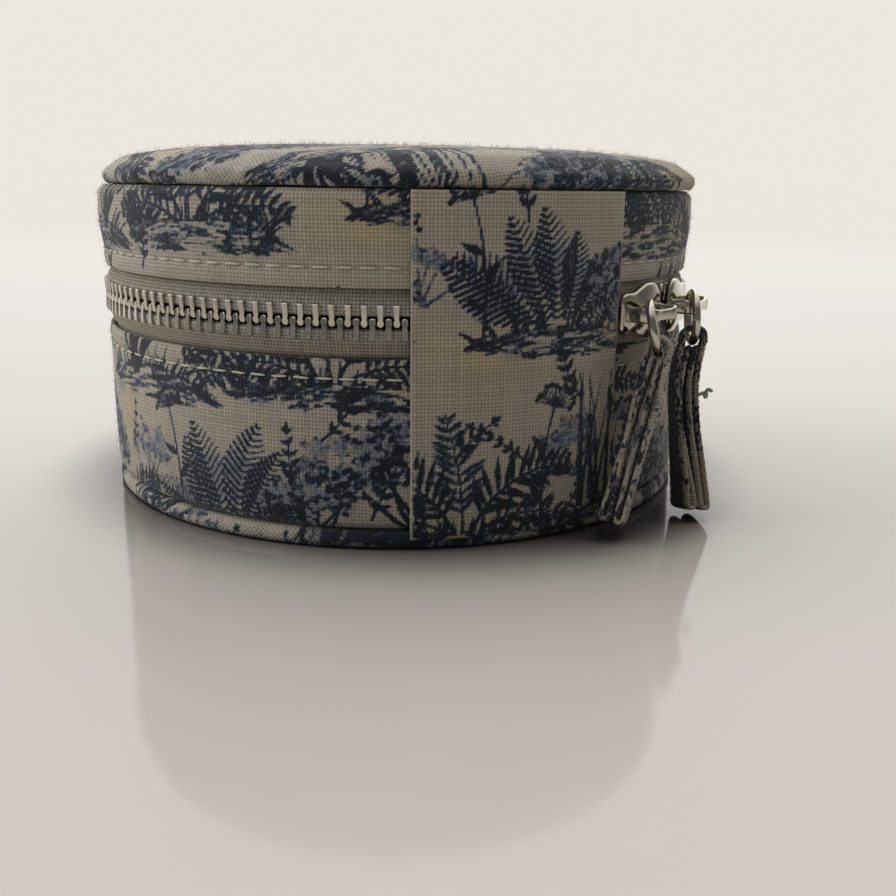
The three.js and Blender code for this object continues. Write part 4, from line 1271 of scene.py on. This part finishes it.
pull = {
    "a": {
        "offset": 0.8, "drop": 1.75, "yaw": 59.0, "tilt": 14.0,
        "lean": 14.0, "fold": 25.0, "twist": 0.0, "swing": 0.0, "arch": 0.0, "longer": 0.0, "bulge": 0.8,
        "cloth": (20.0, 31.0),
    },
    "b": {
        "offset": 0.6, "drop": 1.6, "yaw": 66.0, "tilt": 3.0,
        "lean": 14.0, "fold": 4.0, "twist": 18.0, "swing": -0.9, "arch": 9.0, "longer": 0.8, "bulge": 0.0,
        "cloth": (90.0, 77.0),
    },
}
ringSize = {"radius": 3.7, "wire": 1.3, "standOff": 52.65, "steps": 72, "wireSteps": 20}
tabSize = {
    "length": 25.3,
    "width": 6.5,
    "neck": 4.2,
    "ply": 0.96,
    "gap": 0.12,
    "rise": 0.5,
    "start": 0.74,
    "lumps": 0.07,
    "step": 0.16,
    "around": 40,
}


def wallFrame(angle):  # x along the wall, y up and z outwards, at the zip's height
    a = math.radians(angle)
    return Matrix(((math.cos(a), 0, math.sin(a), 0), (math.sin(a), 0, -math.cos(a), 0),
                   (0, 1, 0, case["zipCentre"]), (0, 0, 0, 1)))


def ringFrame(letter):
    p, r, yaw = pull[letter], ringSize["radius"], math.radians(pull[letter]["yaw"])
    middle = (p["offset"] - r * math.sin(yaw), -p["drop"], ringSize["standOff"] + r * math.cos(yaw))
    turn = Matrix.Rotation(-math.pi / 2 - yaw, 4, "Y") @ Matrix.Rotation(math.radians(p["tilt"]), 4, "X")
    return wallFrame(sliderAt[letter]) @ Matrix.Translation(middle) @ turn


def tabFrame(letter):
    p, r, lean = pull[letter], ringSize["radius"], math.radians(pull[letter]["lean"])
    place = Matrix.Translation((r * math.sin(lean), -r * math.cos(lean), 0))
    turn = Matrix.Rotation(lean, 4, "Z") @ Matrix.Rotation(-math.radians(p["fold"]), 4, "X")
    return ringFrame(letter) @ place @ turn


def ringPiece(letter):
    big = np.arange(ringSize["steps"])[:, None] * 2 * np.pi / ringSize["steps"]
    small = np.arange(ringSize["wireSteps"]) * 2 * np.pi / ringSize["wireSteps"]
    wire = ringSize["wire"] / 2
    r = ringSize["radius"] + wire * np.cos(small)
    points = np.stack(np.broadcast_arrays(r * np.cos(big), r * np.sin(big), wire * np.sin(small)), -1)
    points = placed(points, ringFrame(letter))
    return gridPiece("ring" + letter.upper(), points, bareUv(points), closeU=True, closeV=True)


def arc(middle, radius, start, end, count):
    turn = np.radians(np.linspace(start, end, count))
    return [(middle[0] + radius * c, middle[1] + radius * s) for c, s in zip(np.cos(turn), np.sin(turn))]


def tabInk(letter, piece, at, fall, sx):  # frayed dark edges; the longer tab is darker, with a paler tail
    shape = (len(at), len(sx))
    ink = readInk(piece).reshape(*shape, 4)
    dice = np.random.default_rng(ord(letter))
    spots = np.arange(0, at[-1] + 3, 2.3)
    broad = np.interp(at, spots, dice.random(len(spots)))[:, None]
    fine = dice.random(shape)
    for axis in (0, 0, 1):
        fine = (fine + np.roll(fine, 1, axis) + np.roll(fine, -1, axis)) / 3
    twisted = pull[letter]["twist"] > 0
    paler = smooth((fall[:, :1] - 0.52) / 0.12) if twisted else 0.45 * (np.sin(at * 0.29 + 0.8) > -0.2)[:, None]
    edgeInk = np.clip(0.4 + 1.1 * (broad - 0.5) + 4.2 * (fine - 0.5) - 0.62 * paler, 0, 1)
    edge = smooth((np.abs(sx) - 0.55) / 0.3)
    ink[..., 0] = ink[..., 0] * (1 - edge) + edgeInk * edge
    ink[..., 1] *= 1 - edge
    if twisted:
        ink[..., 0] = np.maximum(ink[..., 0], 0.6 * (1 - edge))
    writeInk(piece, ink)


def tabPiece(letter):  # one strip folded to four plies, looped over the ring
    p, s = pull[letter], tabSize
    step, length = (s["ply"] + s["gap"]) / 2, s["length"] + p["longer"]
    foldAt = s["ply"] / 2 + step - length
    path = [(step, -s["start"])] + arc((2 * step, foldAt), step, 180, 360, 9)
    path += arc((0, s["rise"]), 3 * step, 0, 180, 19)
    path += arc((-2 * step, foldAt), step, 0, -180, 9) + [(-step, -s["start"])]
    path, at = along(path, s["step"])
    ahead = directions(path)
    turn = np.arange(s["around"]) * 2 * np.pi / s["around"]
    sx, sy = squared(np.cos(turn), 0.55), squared(np.sin(turn), 0.95)
    width = s["neck"] + (s["width"] - s["neck"]) * smooth((-path[:, 1:] - 0.2) / 2.4)
    lumps = 0.6 * np.sin(at * 5.3 + 2.0 * np.sin(at * 0.9)) + 0.4 * np.sin(at * 8.9 + 3.0 * np.sin(at * 0.37))
    wobble = 1 + (0.02 * np.sin(at * 0.8) + 0.014 * lumps)[:, None]
    ends = np.clip(np.minimum(at, at[-1] - at) / 0.45, 0.05, 1)[:, None]
    thick = (s["ply"] / 2 + s["lumps"] * lumps[:, None]) * np.sqrt(1 - (1 - ends) ** 2)
    x = sx * width / 2 * wobble
    up = path[:, 1:] - ahead[:, :1] * sy * thick
    z = -path[:, :1] - ahead[:, 1:] * sy * thick
    fall = np.clip(-up / length, 0, 1)
    outerPly = smooth((-z - 0.9) / 0.5)
    z = z - p["bulge"] * outerPly * hump(fall, 0.3, 0.09)
    x = x + 0.6 * p["bulge"] * outerPly * (sx > 0) * hump(fall, 0.32, 0.08)
    twist = math.radians(p["twist"]) * fall ** 1.3
    slide = p["arch"] * fall * (1 - fall) ** 2 + p["swing"] * fall ** 2
    cos, sin = np.cos(twist), np.sin(twist)
    points = np.stack([x * cos + z * sin, up, z * cos - x * sin + slide], -1)
    roundAt = runningLength(np.column_stack([sx * s["width"] / 2, sy * s["ply"] / 2])) + p["cloth"][0]
    uv = clothPlaces(roundAt, at[:, None] + p["cloth"][1], endAcross=roundAt[-1])
    points = placed(points, tabFrame(letter))
    piece = gridPiece("tab" + letter.upper(), points, uv, closeV=True, caps=True, tile=tile)
    tabInk(letter, piece, at, fall, sx)
    return piece


# Sliders: two plates, the nose post between them and the strap that holds the ring

slider = {
    "end": 5.2,
    "tail": 3.0,
    "shoulder": 4.2,
    "nose": 0.85,
    "crest": 51.68,
    "dome": 0.5,
    "plateInner": 50.8,
    "flange": 0.62,
    "channel": (2.48, 3.6),
    "strapFoot": 51.0,
    "strapTop": 54.95,
    "strapReach": 3.72,
    "strapBend": 1.55,
    "strapMiddle": (0.8, 0.36),
    "strapEnds": (1.12, 0.5),
    "postAt": 3.5,
    "postHalf": (0.9, 0.42),
    "sag": 0.136,
    "outlinePoints": 110,
    "outlineLength": 40.0,
}


def joined(name, parts):  # several closed shapes as one piece, with their faces turned outwards
    work = bmesh.new()
    for part in parts:
        work.from_mesh(part.data)
        bpy.data.objects.remove(part)
    bmesh.ops.recalc_face_normals(work, faces=work.faces)
    return meshFrom(work, name)


def shieldOutline():  # the plate seen from outside: a straight tail and a rounded, wider nose
    s, front = slider, 2.6
    half = [(-s["end"], 0), (-s["end"], 2.2), (-4.4, s["tail"]), (-1.9, s["tail"]), (1.2, s["shoulder"]),
            (front, s["shoulder"])]
    for t in np.radians(np.linspace(15, 90, 6)):
        x = front + (s["end"] - front) * math.sin(t)
        half.append((x, s["nose"] + (s["shoulder"] - s["nose"]) * math.cos(t)))
    half = [tuple(p) for p in rounded(half + [(s["end"], 0)], 0.6, 4)]
    return along(half + [(x, -y) for x, y in half[-2::-1]], s["outlineLength"] / s["outlinePoints"])[0][:-1]


def plateShape(name, rings, place):  # rings: share of the outline, and height as a number or function
    outline = shieldOutline()
    centre = np.array([0.2, 0.0])
    layers = []
    for share, height in rings:
        flat = centre + (outline - centre) * share
        z = height(flat) if callable(height) else np.full(len(flat), height)
        layers.append(np.column_stack([flat, z - slider["sag"]]))
    points = placed(np.array(layers), place)
    return gridPiece(name, points, bareUv(points), closeV=True, merge=True)


def frontPlate(place):
    s = slider

    def under(flat):  # the side flanges keep clear of the rows, which spread towards the nose
        channel = np.interp(flat[:, 0], [-2.0, 1.4], s["channel"])
        side = smooth((np.abs(flat[:, 1]) - channel) / 0.2) * (1 - smooth((flat[:, 0] - 2.2) / 0.6))
        return s["plateInner"] - s["flange"] * side

    dome = [(r, s["crest"] - s["dome"] * r ** 2.4) for r in np.linspace(0, 0.9, 9)]
    low = dome[-1][1]
    rim = [(0.945, low - 0.1), (0.975, low - 0.22), (0.993, low - 0.38), (1.0, low - 0.56)]
    edge = [(1.0, lambda p: under(p) + 0.14), (0.99, lambda p: under(p) + 0.04), (0.965, under), (0.9, under)]
    return plateShape("plate", dome + rim + edge + [(0.87, s["plateInner"]), (0.0, s["plateInner"])], place)


def backPlate(place):
    rings = [(0.0, 47.7), (0.9, 47.72), (0.965, 47.8), (0.99, 47.95), (1.0, 48.15), (0.985, 48.4),
             (0.96, 48.45), (0.0, 48.45)]
    return plateShape("back", rings, place)


def strapShape(place):
    s = slider
    bend, reach = s["strapBend"], s["strapReach"]
    bow = np.radians(np.arange(0, 91, 9))
    left = [(-reach, s["strapFoot"])]
    left += [(bend - reach - bend * math.cos(t), s["strapTop"] - bend + bend * math.sin(t)) for t in bow]
    line = along(left + [(-x, z) for x, z in left[::-1]], 0.2)[0]
    ahead = directions(line)
    away = smooth((np.abs(line[:, :1]) - 1.2) / 2.2)
    width, thick = (m + (e - m) * away for m, e in zip(s["strapMiddle"], s["strapEnds"]))
    turn = np.radians(np.arange(28) * 360.0 / 28)
    out = squared(np.sin(turn), 0.75) * thick
    x, z = line[:, :1] - ahead[:, 1:] * out, line[:, 1:] + ahead[:, :1] * out
    points = placed(np.stack([x, squared(np.cos(turn), 0.55) * width, z - s["sag"]], -1), place)
    return gridPiece("strap", points, bareUv(points), closeV=True, caps=True)


def postShape(place):
    s, turn = slider, np.radians(np.arange(24) * 15.0)
    shape = [s["postAt"] + s["postHalf"][0] * np.cos(turn), s["postHalf"][1] * np.sin(turn)]
    points = placed(np.array([np.column_stack([*shape, 0 * turn + z]) for z in (48.0, 50.0, 51.0)]), place)
    return gridPiece("post", points, bareUv(points), closeV=True, caps=True)


def sliderPiece(letter):
    place = wallFrame(sliderAt[letter])
    if letter == "b":  # the two meet head to head
        place = place @ Matrix.Rotation(math.pi, 4, "Z")
    parts = [shape(place) for shape in (frontPlate, backPlate, strapShape, postShape)]
    return joined("slider" + letter.upper(), parts)


def strayThread(letter):  # a thread end that has worked loose from the tab's edge and curled up
    t = np.linspace(0, 1, 46)
    curl, size = np.radians(-40 + 560 * t), 1.15 * (1 - 0.45 * t)
    line = np.column_stack([3.0 + 0.8 * t + 0.3 * np.sin(9 * t), -8.4 + 0.3 * t + size * np.sin(curl) * t,
                            -0.7 - 1.3 * t - size * (1 - np.cos(curl)) * 0.4])
    ahead = directions(line)
    side = np.cross(ahead, (0.3, 0.2, 1.0))
    side /= np.linalg.norm(side, axis=1)[:, None]
    up = np.cross(ahead, side)
    turn = np.radians(np.arange(8) * 45.0)[:, None]
    reach = 0.26 * (1 + 0.12 * np.sin(40 * t))[:, None, None]
    ring = (side[:, None, :] * np.cos(turn) + up[:, None, :] * np.sin(turn)) * reach
    points = placed(line[:, None, :] + ring, tabFrame(letter))
    return gridPiece("strayThread", points, bareUv(points), closeV=True, caps=True)


finish(strayThread("b"), looseCotton, "tab_b", "printed_canvas")
tabs = {}
for letter in ("a", "b"):
    finish(sliderPiece(letter), nickel, "slider_" + letter, "nickel", f"slider_{letter}_body")
    finish(ringPiece(letter), nickel, "ring_" + letter, "nickel", f"pull_ring_{letter}")
    tab = finish(tabPiece(letter), canvasMaterial, "tab_" + letter, "printed_canvas", f"pull_tab_{letter}")
    tabs[letter] = tab
print("sliders and pulls made")


# Short stray fibres on the printed cloth, with how many stand on a square millimetre of each piece

fibre = {"bend": 0.35, "length": (0.25, 0.85), "thickness": 0.03, "lean": 0.9}
fuzzed = [
    (upperBand, "lid", 0.55),
    (lowerBand, "base", 0.4),
    (topPiece, "lid", 0.3),
    (tabs["a"], "tab_a", 3.0),
    (tabs["b"], "tab_b", 3.0),
]


def fibreTemplate():
    z = np.array([0.0, 0.4, 0.75, 1.0])[:, None]
    thick = fibre["thickness"] * np.array([1.0, 0.9, 0.7, 0.35])[:, None]
    turn = np.radians([0, 120, 240])
    x = fibre["bend"] * z ** 2 + thick * np.cos(turn)
    points = np.stack(np.broadcast_arrays(x, thick * np.sin(turn), z), -1)
    return gridPiece("fibreTemplate", points, bareUv(points), closeV=True)


def fibreTree(template):
    tree, given, result = newGroup("strayFibres", [
        ("Cloth", "Object", None), ("Density", "Float", 100000.0), ("Seed", "Int", 1),
        ("Shortest", "Float", 0.3), ("Longest", "Float", 0.9), ("Lean", "Float", 0.8),
        ("Material", "Material", None),
    ], [("Geometry", "Geometry")], "GeometryNodeTree")
    seed, lean, spin = given["Seed"], given["Lean"], 3.1
    cloth = put(tree, "GeometryNodeObjectInfo", {"Object": given["Cloth"]})
    roots = put(tree, "GeometryNodeDistributePointsOnFaces",
                {"Mesh": cloth.outputs["Geometry"], "Density": given["Density"], "Seed": seed}).outputs
    shape = put(tree, "GeometryNodeObjectInfo", {"Object": template})
    sizes = put(tree, "FunctionNodeRandomValue",
                {"Min": given["Shortest"], "Max": given["Longest"], "Seed": seed}, data_type="FLOAT")
    hairs = put(tree, "GeometryNodeInstanceOnPoints",
                {"Points": roots["Points"], "Instance": shape.outputs["Geometry"],
                 "Rotation": roots["Rotation"], "Scale": sizes.outputs[1]})
    down = maths(tree, "MULTIPLY", lean, -1.0)
    low = put(tree, "ShaderNodeCombineXYZ", {0: down, 1: down, 2: -spin})
    high = put(tree, "ShaderNodeCombineXYZ", {0: lean, 1: lean, 2: spin})
    turn = put(tree, "FunctionNodeRandomValue",
               {"Min": low.outputs[0], "Max": high.outputs[0], "Seed": seed}, data_type="FLOAT_VECTOR")
    turned = put(tree, "GeometryNodeRotateInstances",
                 {"Instances": hairs.outputs[0], "Rotation": turn.outputs[0]})
    endTree(tree, turned.outputs[0], given, result)
    return tree


template = fibreTemplate()
fibres = fibreTree(template)
for seed, (piece, body, perSquare) in enumerate(fuzzed, 3):
    hairs = grown(piece.name + "Fuzz", fibres, {
        "Cloth": piece, "Density": perSquare / mm ** 2, "Seed": seed, "Shortest": fibre["length"][0],
        "Longest": fibre["length"][1], "Lean": fibre["lean"], "Material": strayFibre,
    })
    finish(hairs, strayFibre, body, "printed_canvas")
bpy.data.objects.remove(template)
print("stray fibres made")


# Inside: linings, pads, rolls, divider and pocket

lining = {
    "corner": 0.3,
    "segments": 288,
    "step": 0.8,
    "wallBetween": (45.0, 46.9),
    "trayWall": {"depth": 0.12, "phase": 5.0, "foot": 8.0, "reach": 17.0},
    "lidWall": {"depth": 0.1, "phase": 1.2, "foot": 37.5, "reach": 9.3},
}


def liningPiece(name, profile, centre, wall):
    def bump(angle, radius, height):  # the wall stands in unevenly between its two edges
        inner, outer = lining["wallBetween"]
        belly = np.sin(np.pi * np.clip((height - wall["foot"]) / wall["reach"], 0, 1))
        onWall = (radius > inner) * (radius < outer)
        return -wall["depth"] * (ripple(angle, height, wall["phase"]) + 1) * onWall * belly, 0

    profile = rounded(profile, lining["corner"], 3)
    return turnedPiece(name, profile, lining["segments"], lining["step"], centre, bump=bump)


def trayLining():
    profile = [(0, 6.95), (46.9, 6.95), (47.1, 7.3), (47.1, 24.4), (48.2, 24.4), (48.2, 25.1), (47.9, 25.5),
               (46.8, 25.5), (46.4, 25.0), (46.4, 8.4), (45.7, 7.7), (30, 7.5), (0, 7.4)]
    return liningPiece("trayLining", profile, -1, lining["trayWall"])


def lidLining():
    profile = [(0, 46.8), (45.8, 46.8), (46.4, 46.2), (46.4, 38.0), (46.8, 37.5), (47.9, 37.5), (48.2, 37.9),
               (48.2, 38.6), (47.1, 38.6), (47.1, 47.3), (46.9, 47.5), (0, 47.5)]
    return liningPiece("lidLining", profile, 1, lining["lidWall"])


finish(trayLining(), liningLinen, "base", "lining_cloth", "base_lining")
finish(lidLining(), liningLinen, "lid", "lining_cloth", "lid_lining")

pad = {
    "floor": [(0, 4.3), (46.1, 4.3), (46.6, 4.8), (46.6, 5.85), (45.8, 6.55), (27.96, 6.55), (0, 6.55)],
    "crown": [(0, 49.35), (47.3, 49.35), (47.9, 49.8), (46.9, 51.0), (37.5, 52.7), (20, 53.85), (0, 54.25)],
    "corner": 0.4,
    "segments": 96,
    "step": 1.6,
}


def padPiece(name, profile):
    return turnedPiece(name, rounded(profile, pad["corner"], 3), pad["segments"], pad["step"])


floorPad = finish(padPiece("floorPad", pad["floor"]), padFoam, "base", "foam", "base_floor_pad")
crownPad = finish(padPiece("crownPad", pad["crown"]), padFoam, "lid", "foam", "lid_foam_pad")

rolls = {
    "radius": 5.4,
    "slack": 0.28,
    "underside": 0.97,
    "endRound": 3.2,
    "pleats": 9,
    "pleatDepth": 0.16,
    "pleatReach": 2.0,
    "seamAt": 250.0,
    "seamDip": 0.35,
    "seamWidth": 0.12,
    "rows": 90,
    "segments": 56,
}


def rollPiece(index):
    r = rolls
    low, high = (np.array(v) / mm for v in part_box(f"ring_roll_{index + 1}"))
    half, centreY, centreZ = (high[0] - low[0]) / 2, (low[1] + high[1]) / 2, (low[2] + high[2]) / 2
    s = np.linspace(-1, 1, r["rows"])[:, None]
    x, end = s * half, (1 - np.abs(s)) * half
    envelope = np.sqrt(1 - (1 - np.clip(end / r["endRound"], 0, 1)) ** 2)
    turn = np.arange(r["segments"]) * 2 * np.pi / r["segments"]
    wave = 0.12 * np.sin(x * 0.55 + 3 * turn + index) + 0.1 * np.sin(x * 0.23 - 2 * turn)
    pleat = r["pleatDepth"] * np.cos(r["pleats"] * turn) * np.exp(-end / r["pleatReach"])
    fromSeam = np.angle(np.exp(1j * (turn - np.radians(r["seamAt"]))))
    seam = r["seamDip"] * hump(fromSeam, 0, r["seamWidth"])
    radius = (r["radius"] - r["slack"] + wave + pleat - seam) * envelope
    y = centreY + radius * np.cos(turn)
    z = centreZ + radius * np.sin(turn) * np.where(np.sin(turn) < 0, r["underside"], 1.0)
    uv = clothPlaces(x, turn * r["radius"], endUp=2 * np.pi * r["radius"])
    points = np.stack(np.broadcast_arrays(x, y, z), -1)
    return gridPiece(f"ringRoll{index + 1}", points, uv, closeV=True, merge=True)


for index in range(3):
    roll = finish(rollPiece(index), rollVelvet, "base", "ring_roll_velvet", f"ring_roll_{index + 1}")

divider = {"corner": 0.95, "step": 0.6, "rows": 120, "bow": 0.12, "height": 15.0, "endPinch": 0.25}


def dividerPiece():
    low, high = (np.array(v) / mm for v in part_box("tray_divider"))
    x = np.linspace(low[0], high[0], divider["rows"])[:, None]
    section = [(high[1], low[2]), (high[1], high[2]), (low[1], high[2]), (low[1], low[2])]
    section, at = along(rounded(section, divider["corner"], 8), divider["step"])
    bow = divider["bow"] * np.sin(x * 0.11 + 1) * (section[:, 1] - low[2]) / divider["height"]
    ends = 1 - divider["endPinch"] * np.exp(-np.minimum(x - low[0], high[0] - x) / 0.5)
    centre = (low[1] + high[1]) / 2
    y = centre + (section[:, 0] - centre) * ends + bow
    points = np.stack(np.broadcast_arrays(x, y, section[:, 1]), -1)
    return gridPiece("trayDivider", points, clothPlaces(x, at, endUp=at[-1] + 2), closeV=True, caps=True)


finish(dividerPiece(), liningLinen, "base", "lining_cloth", "tray_divider")

pocket = {
    "radius": 46.1,
    "top": 46.5,
    "ply": 0.35,
    "mouthAt": 2.15,
    "depth": 0.55,
    "pleat": 0.34,
    "hem": 0.5,
    "belly": 0.35,
    "columns": 260,
    "rows": 60,
}


def pocketPiece():  # a half disc gathered on an elastic mouth
    p = pocket
    v = np.linspace(0, 1, p["rows"])
    share = np.linspace(-1, 1, p["columns"])[:, None]
    x = share * p["radius"] * math.cos(math.asin(2.2 / p["radius"]))
    edgeY = np.sqrt(np.maximum(p["radius"] ** 2 - x ** 2, 2.3 ** 2))
    y = p["mouthAt"] + (edgeY - p["mouthAt"]) * v ** 1.15
    pleat = p["pleat"] * np.cos(share * 62 + 1.5 * np.sin(share * 11)) * np.exp(-v * 2.6)
    belly = p["belly"] * np.sin(np.pi * v) * (1 - share ** 2)
    hang = p["depth"] + pleat + p["hem"] * hump(v, 0.03, 0.03) + belly
    lower = p["top"] - p["ply"] - hang * smooth((1 - np.abs(share)) * 14) * smooth((1.02 - v) * 12)
    front = np.stack(np.broadcast_arrays(x, y, lower), -1)
    back = np.stack(np.broadcast_arrays(x, y, p["top"]), -1)[:, ::-1]
    points = np.concatenate([front, back], 1)
    uv = clothPlaces(points[..., 0] * 1.6, points[..., 1])
    return gridPiece("lidPocket", points, uv, closeV=True, caps=True, merge=True)


finish(pocketPiece(), liningLinen, "lid", "lining_cloth", "lid_pocket")
for name in ("base_bottom_board", "base_side_board", "lid_board", "lid_side_board"):
    nodes[name].data.materials.clear()
    nodes[name].data.materials.append(greyBoard)
print("inside made")


# Floor, light and camera

studio = {
    "floor": rgb(202, 196, 189),
    "floorHalf": 1.2,
    "floorRoughness": 0.09,
    "floorUneven": (0.8, 1.3),
    "floorShine": 0.35,
    # how far out and how deeply the painted contact shadow darkens the floor's colour near the case
    "paintedShadowReach": 0.016,
    "paintedShadowSpan": (0.45, 0.97),
    "paintedShadowDarkest": 0.1,
    "backdrop": rgb(236, 231, 222),
    "lightColour": (1, 0.985, 0.965, 1),
    "room": 0.13,
    "backGlow": 0.85,
    "glowSpan": (-0.1, 0.8),
    "glowLeft": 0.2,
    "ceiling": 0.78,
    "ceilingSpan": (0.35, 0.95),
    "ceilingBack": 0.4,
    "leftSun": {"turn": -95.0, "lift": 24.0, "strength": 1.35, "spread": 50.0},
    "overhead": {"turn": 178.0, "lift": 64.0, "strength": 0.3, "spread": 40.0},
    "fadeFrom": 0.17,
    "fadeTo": 0.95,
}
photoCamera = {
    "azimuth": 160.0,
    "distance": 0.1774,
    "height": 0.0496,
    "pitchDown": 15.31,
    "yaw": 3.0,
    "roll": 0.75,
    "lens": 38.81,
}


def cameraAxes():
    a = math.radians(photoCamera["azimuth"])
    return Vector((math.sin(a), -math.cos(a), 0)), Vector((math.cos(a), math.sin(a), 0))


def makeCamera():
    towards, right = cameraAxes()
    pitch, yaw, roll = (math.radians(photoCamera[k]) for k in ("pitchDown", "yaw", "roll"))
    ahead = right * math.sin(yaw) * math.cos(pitch) - towards * math.cos(yaw) * math.cos(pitch)
    ahead -= Vector((0, 0, math.sin(pitch)))
    side = right * math.cos(yaw) + towards * math.sin(yaw)
    up = side.cross(ahead)
    side, up = side * math.cos(roll) + up * math.sin(roll), up * math.cos(roll) - side * math.sin(roll)
    data = bpy.data.cameras.new("photoCamera")
    data.lens, data.sensor_width = photoCamera["lens"], 36.0
    data.clip_start, data.clip_end = 0.005, 20
    camera = newObject("photoCamera", data)
    camera.matrix_world = Matrix((side, up, -ahead)).transposed().to_4x4()
    camera.location = towards * photoCamera["distance"] + Vector((0, 0, photoCamera["height"]))
    bpy.context.scene.camera = camera


def sunLight(name):  # turn is measured round the drum from the photographer, lift from the floor
    given = studio[name]
    data = bpy.data.lights.new(name, "SUN")
    data.energy, data.angle = given["strength"], math.radians(given["spread"])
    lamp = newObject(name, data)
    turn, lift = math.radians(photoCamera["azimuth"] + given["turn"]), math.radians(given["lift"])
    source = Vector((math.sin(turn) * math.cos(lift), -math.cos(turn) * math.cos(lift), math.sin(lift)))
    lamp.rotation_euler = source.to_track_quat("Z", "Y").to_euler()
    lamp.visible_glossy = False  # its wide disc would lie as a patch on the shiny floor


def paleFloor():  # a plain floor that fades into the backdrop, with a painted contact shadow darkening its colour near the case
    mesh = bpy.data.meshes.new("floor")
    half = studio["floorHalf"]
    corners = [(-half, -half, 0), (half, -half, 0), (half, half, 0), (-half, half, 0)]
    mesh.from_pydata(corners, [], [(0, 1, 2, 3)])
    floor = newObject("floor", mesh)
    material, tree, shader = startMaterial("paleFloor", {"Specular IOR Level": studio["floorShine"]})
    # painted contact shadow: an occlusion node darkens the floor's own colour close to the case
    paintedShadowOcclusion = put(tree, "ShaderNodeAmbientOcclusion", {"Distance": studio["paintedShadowReach"]}).outputs["AO"]
    paintedShadowLevel = ramp(tree, paintedShadowOcclusion, *studio["paintedShadowSpan"], studio["paintedShadowDarkest"], 1.0)
    tree.links.new(blendColour(tree, paintedShadowLevel, rgb(0, 0, 0), studio["floor"]), shader.inputs["Base Color"])
    place = objectPlace(tree)
    low, high = (studio["floorRoughness"] * share for share in studio["floorUneven"])
    rough = ramp(tree, noise(tree, place, 9.0, 3.0), 0.0, 1.0, low, high)
    tree.links.new(rough, shader.inputs["Roughness"])
    away = put(tree, "ShaderNodeVectorMath", {0: place}, operation="LENGTH").outputs["Value"]
    fade = ramp(tree, away, studio["fadeFrom"], studio["fadeTo"], 1.0, 0.0, "SMOOTHSTEP")
    tree.links.new(fade, shader.inputs["Alpha"])
    mesh.materials.append(material)


def makeWorld():
    # the camera sees a plain backdrop; the light comes from a pale wall behind the case and from the ceiling,
    # and the metal and the shiny floor mirror that wall, at about 0.98 of white, not the backdrop
    world = bpy.data.worlds.new("studio")
    bpy.context.scene.world = world
    world.use_nodes = True
    tree = world.node_tree
    tree.nodes.clear()
    towards, right = cameraAxes()
    way = tree.nodes.new("ShaderNodeTexCoord").outputs["Generated"]
    glowWay = tuple((-towards - right * studio["glowLeft"]).normalized())
    behind = vectorMaths(tree, "DOT_PRODUCT", way, glowWay).outputs["Value"]
    glow = ramp(tree, behind, *studio["glowSpan"], 0.0, studio["backGlow"], "SMOOTHSTEP")
    ceilingWay = tuple((Vector((0, 0, 1)) - towards * studio["ceilingBack"]).normalized())
    up = vectorMaths(tree, "DOT_PRODUCT", way, ceilingWay).outputs["Value"]
    above = ramp(tree, up, *studio["ceilingSpan"], 0.0, studio["ceiling"], "SMOOTHSTEP")
    level = maths(tree, "ADD", maths(tree, "ADD", glow, above), studio["room"])
    light = put(tree, "ShaderNodeBackground", {"Color": studio["lightColour"], "Strength": level})
    shown = put(tree, "ShaderNodeBackground", {"Color": studio["backdrop"], "Strength": 1.0})
    seen = tree.nodes.new("ShaderNodeLightPath").outputs["Is Camera Ray"]
    mix = put(tree, "ShaderNodeMixShader", {0: seen, 1: light.outputs[0], 2: shown.outputs[0]})
    output = tree.nodes.new("ShaderNodeOutputWorld")
    tree.links.new(mix.outputs[0], output.inputs[0])


makeCamera()
paleFloor()
makeWorld()
sunLight("leftSun")
sunLight("overhead")
bpy.context.scene.view_settings.view_transform = "Standard"
print("scene ready")
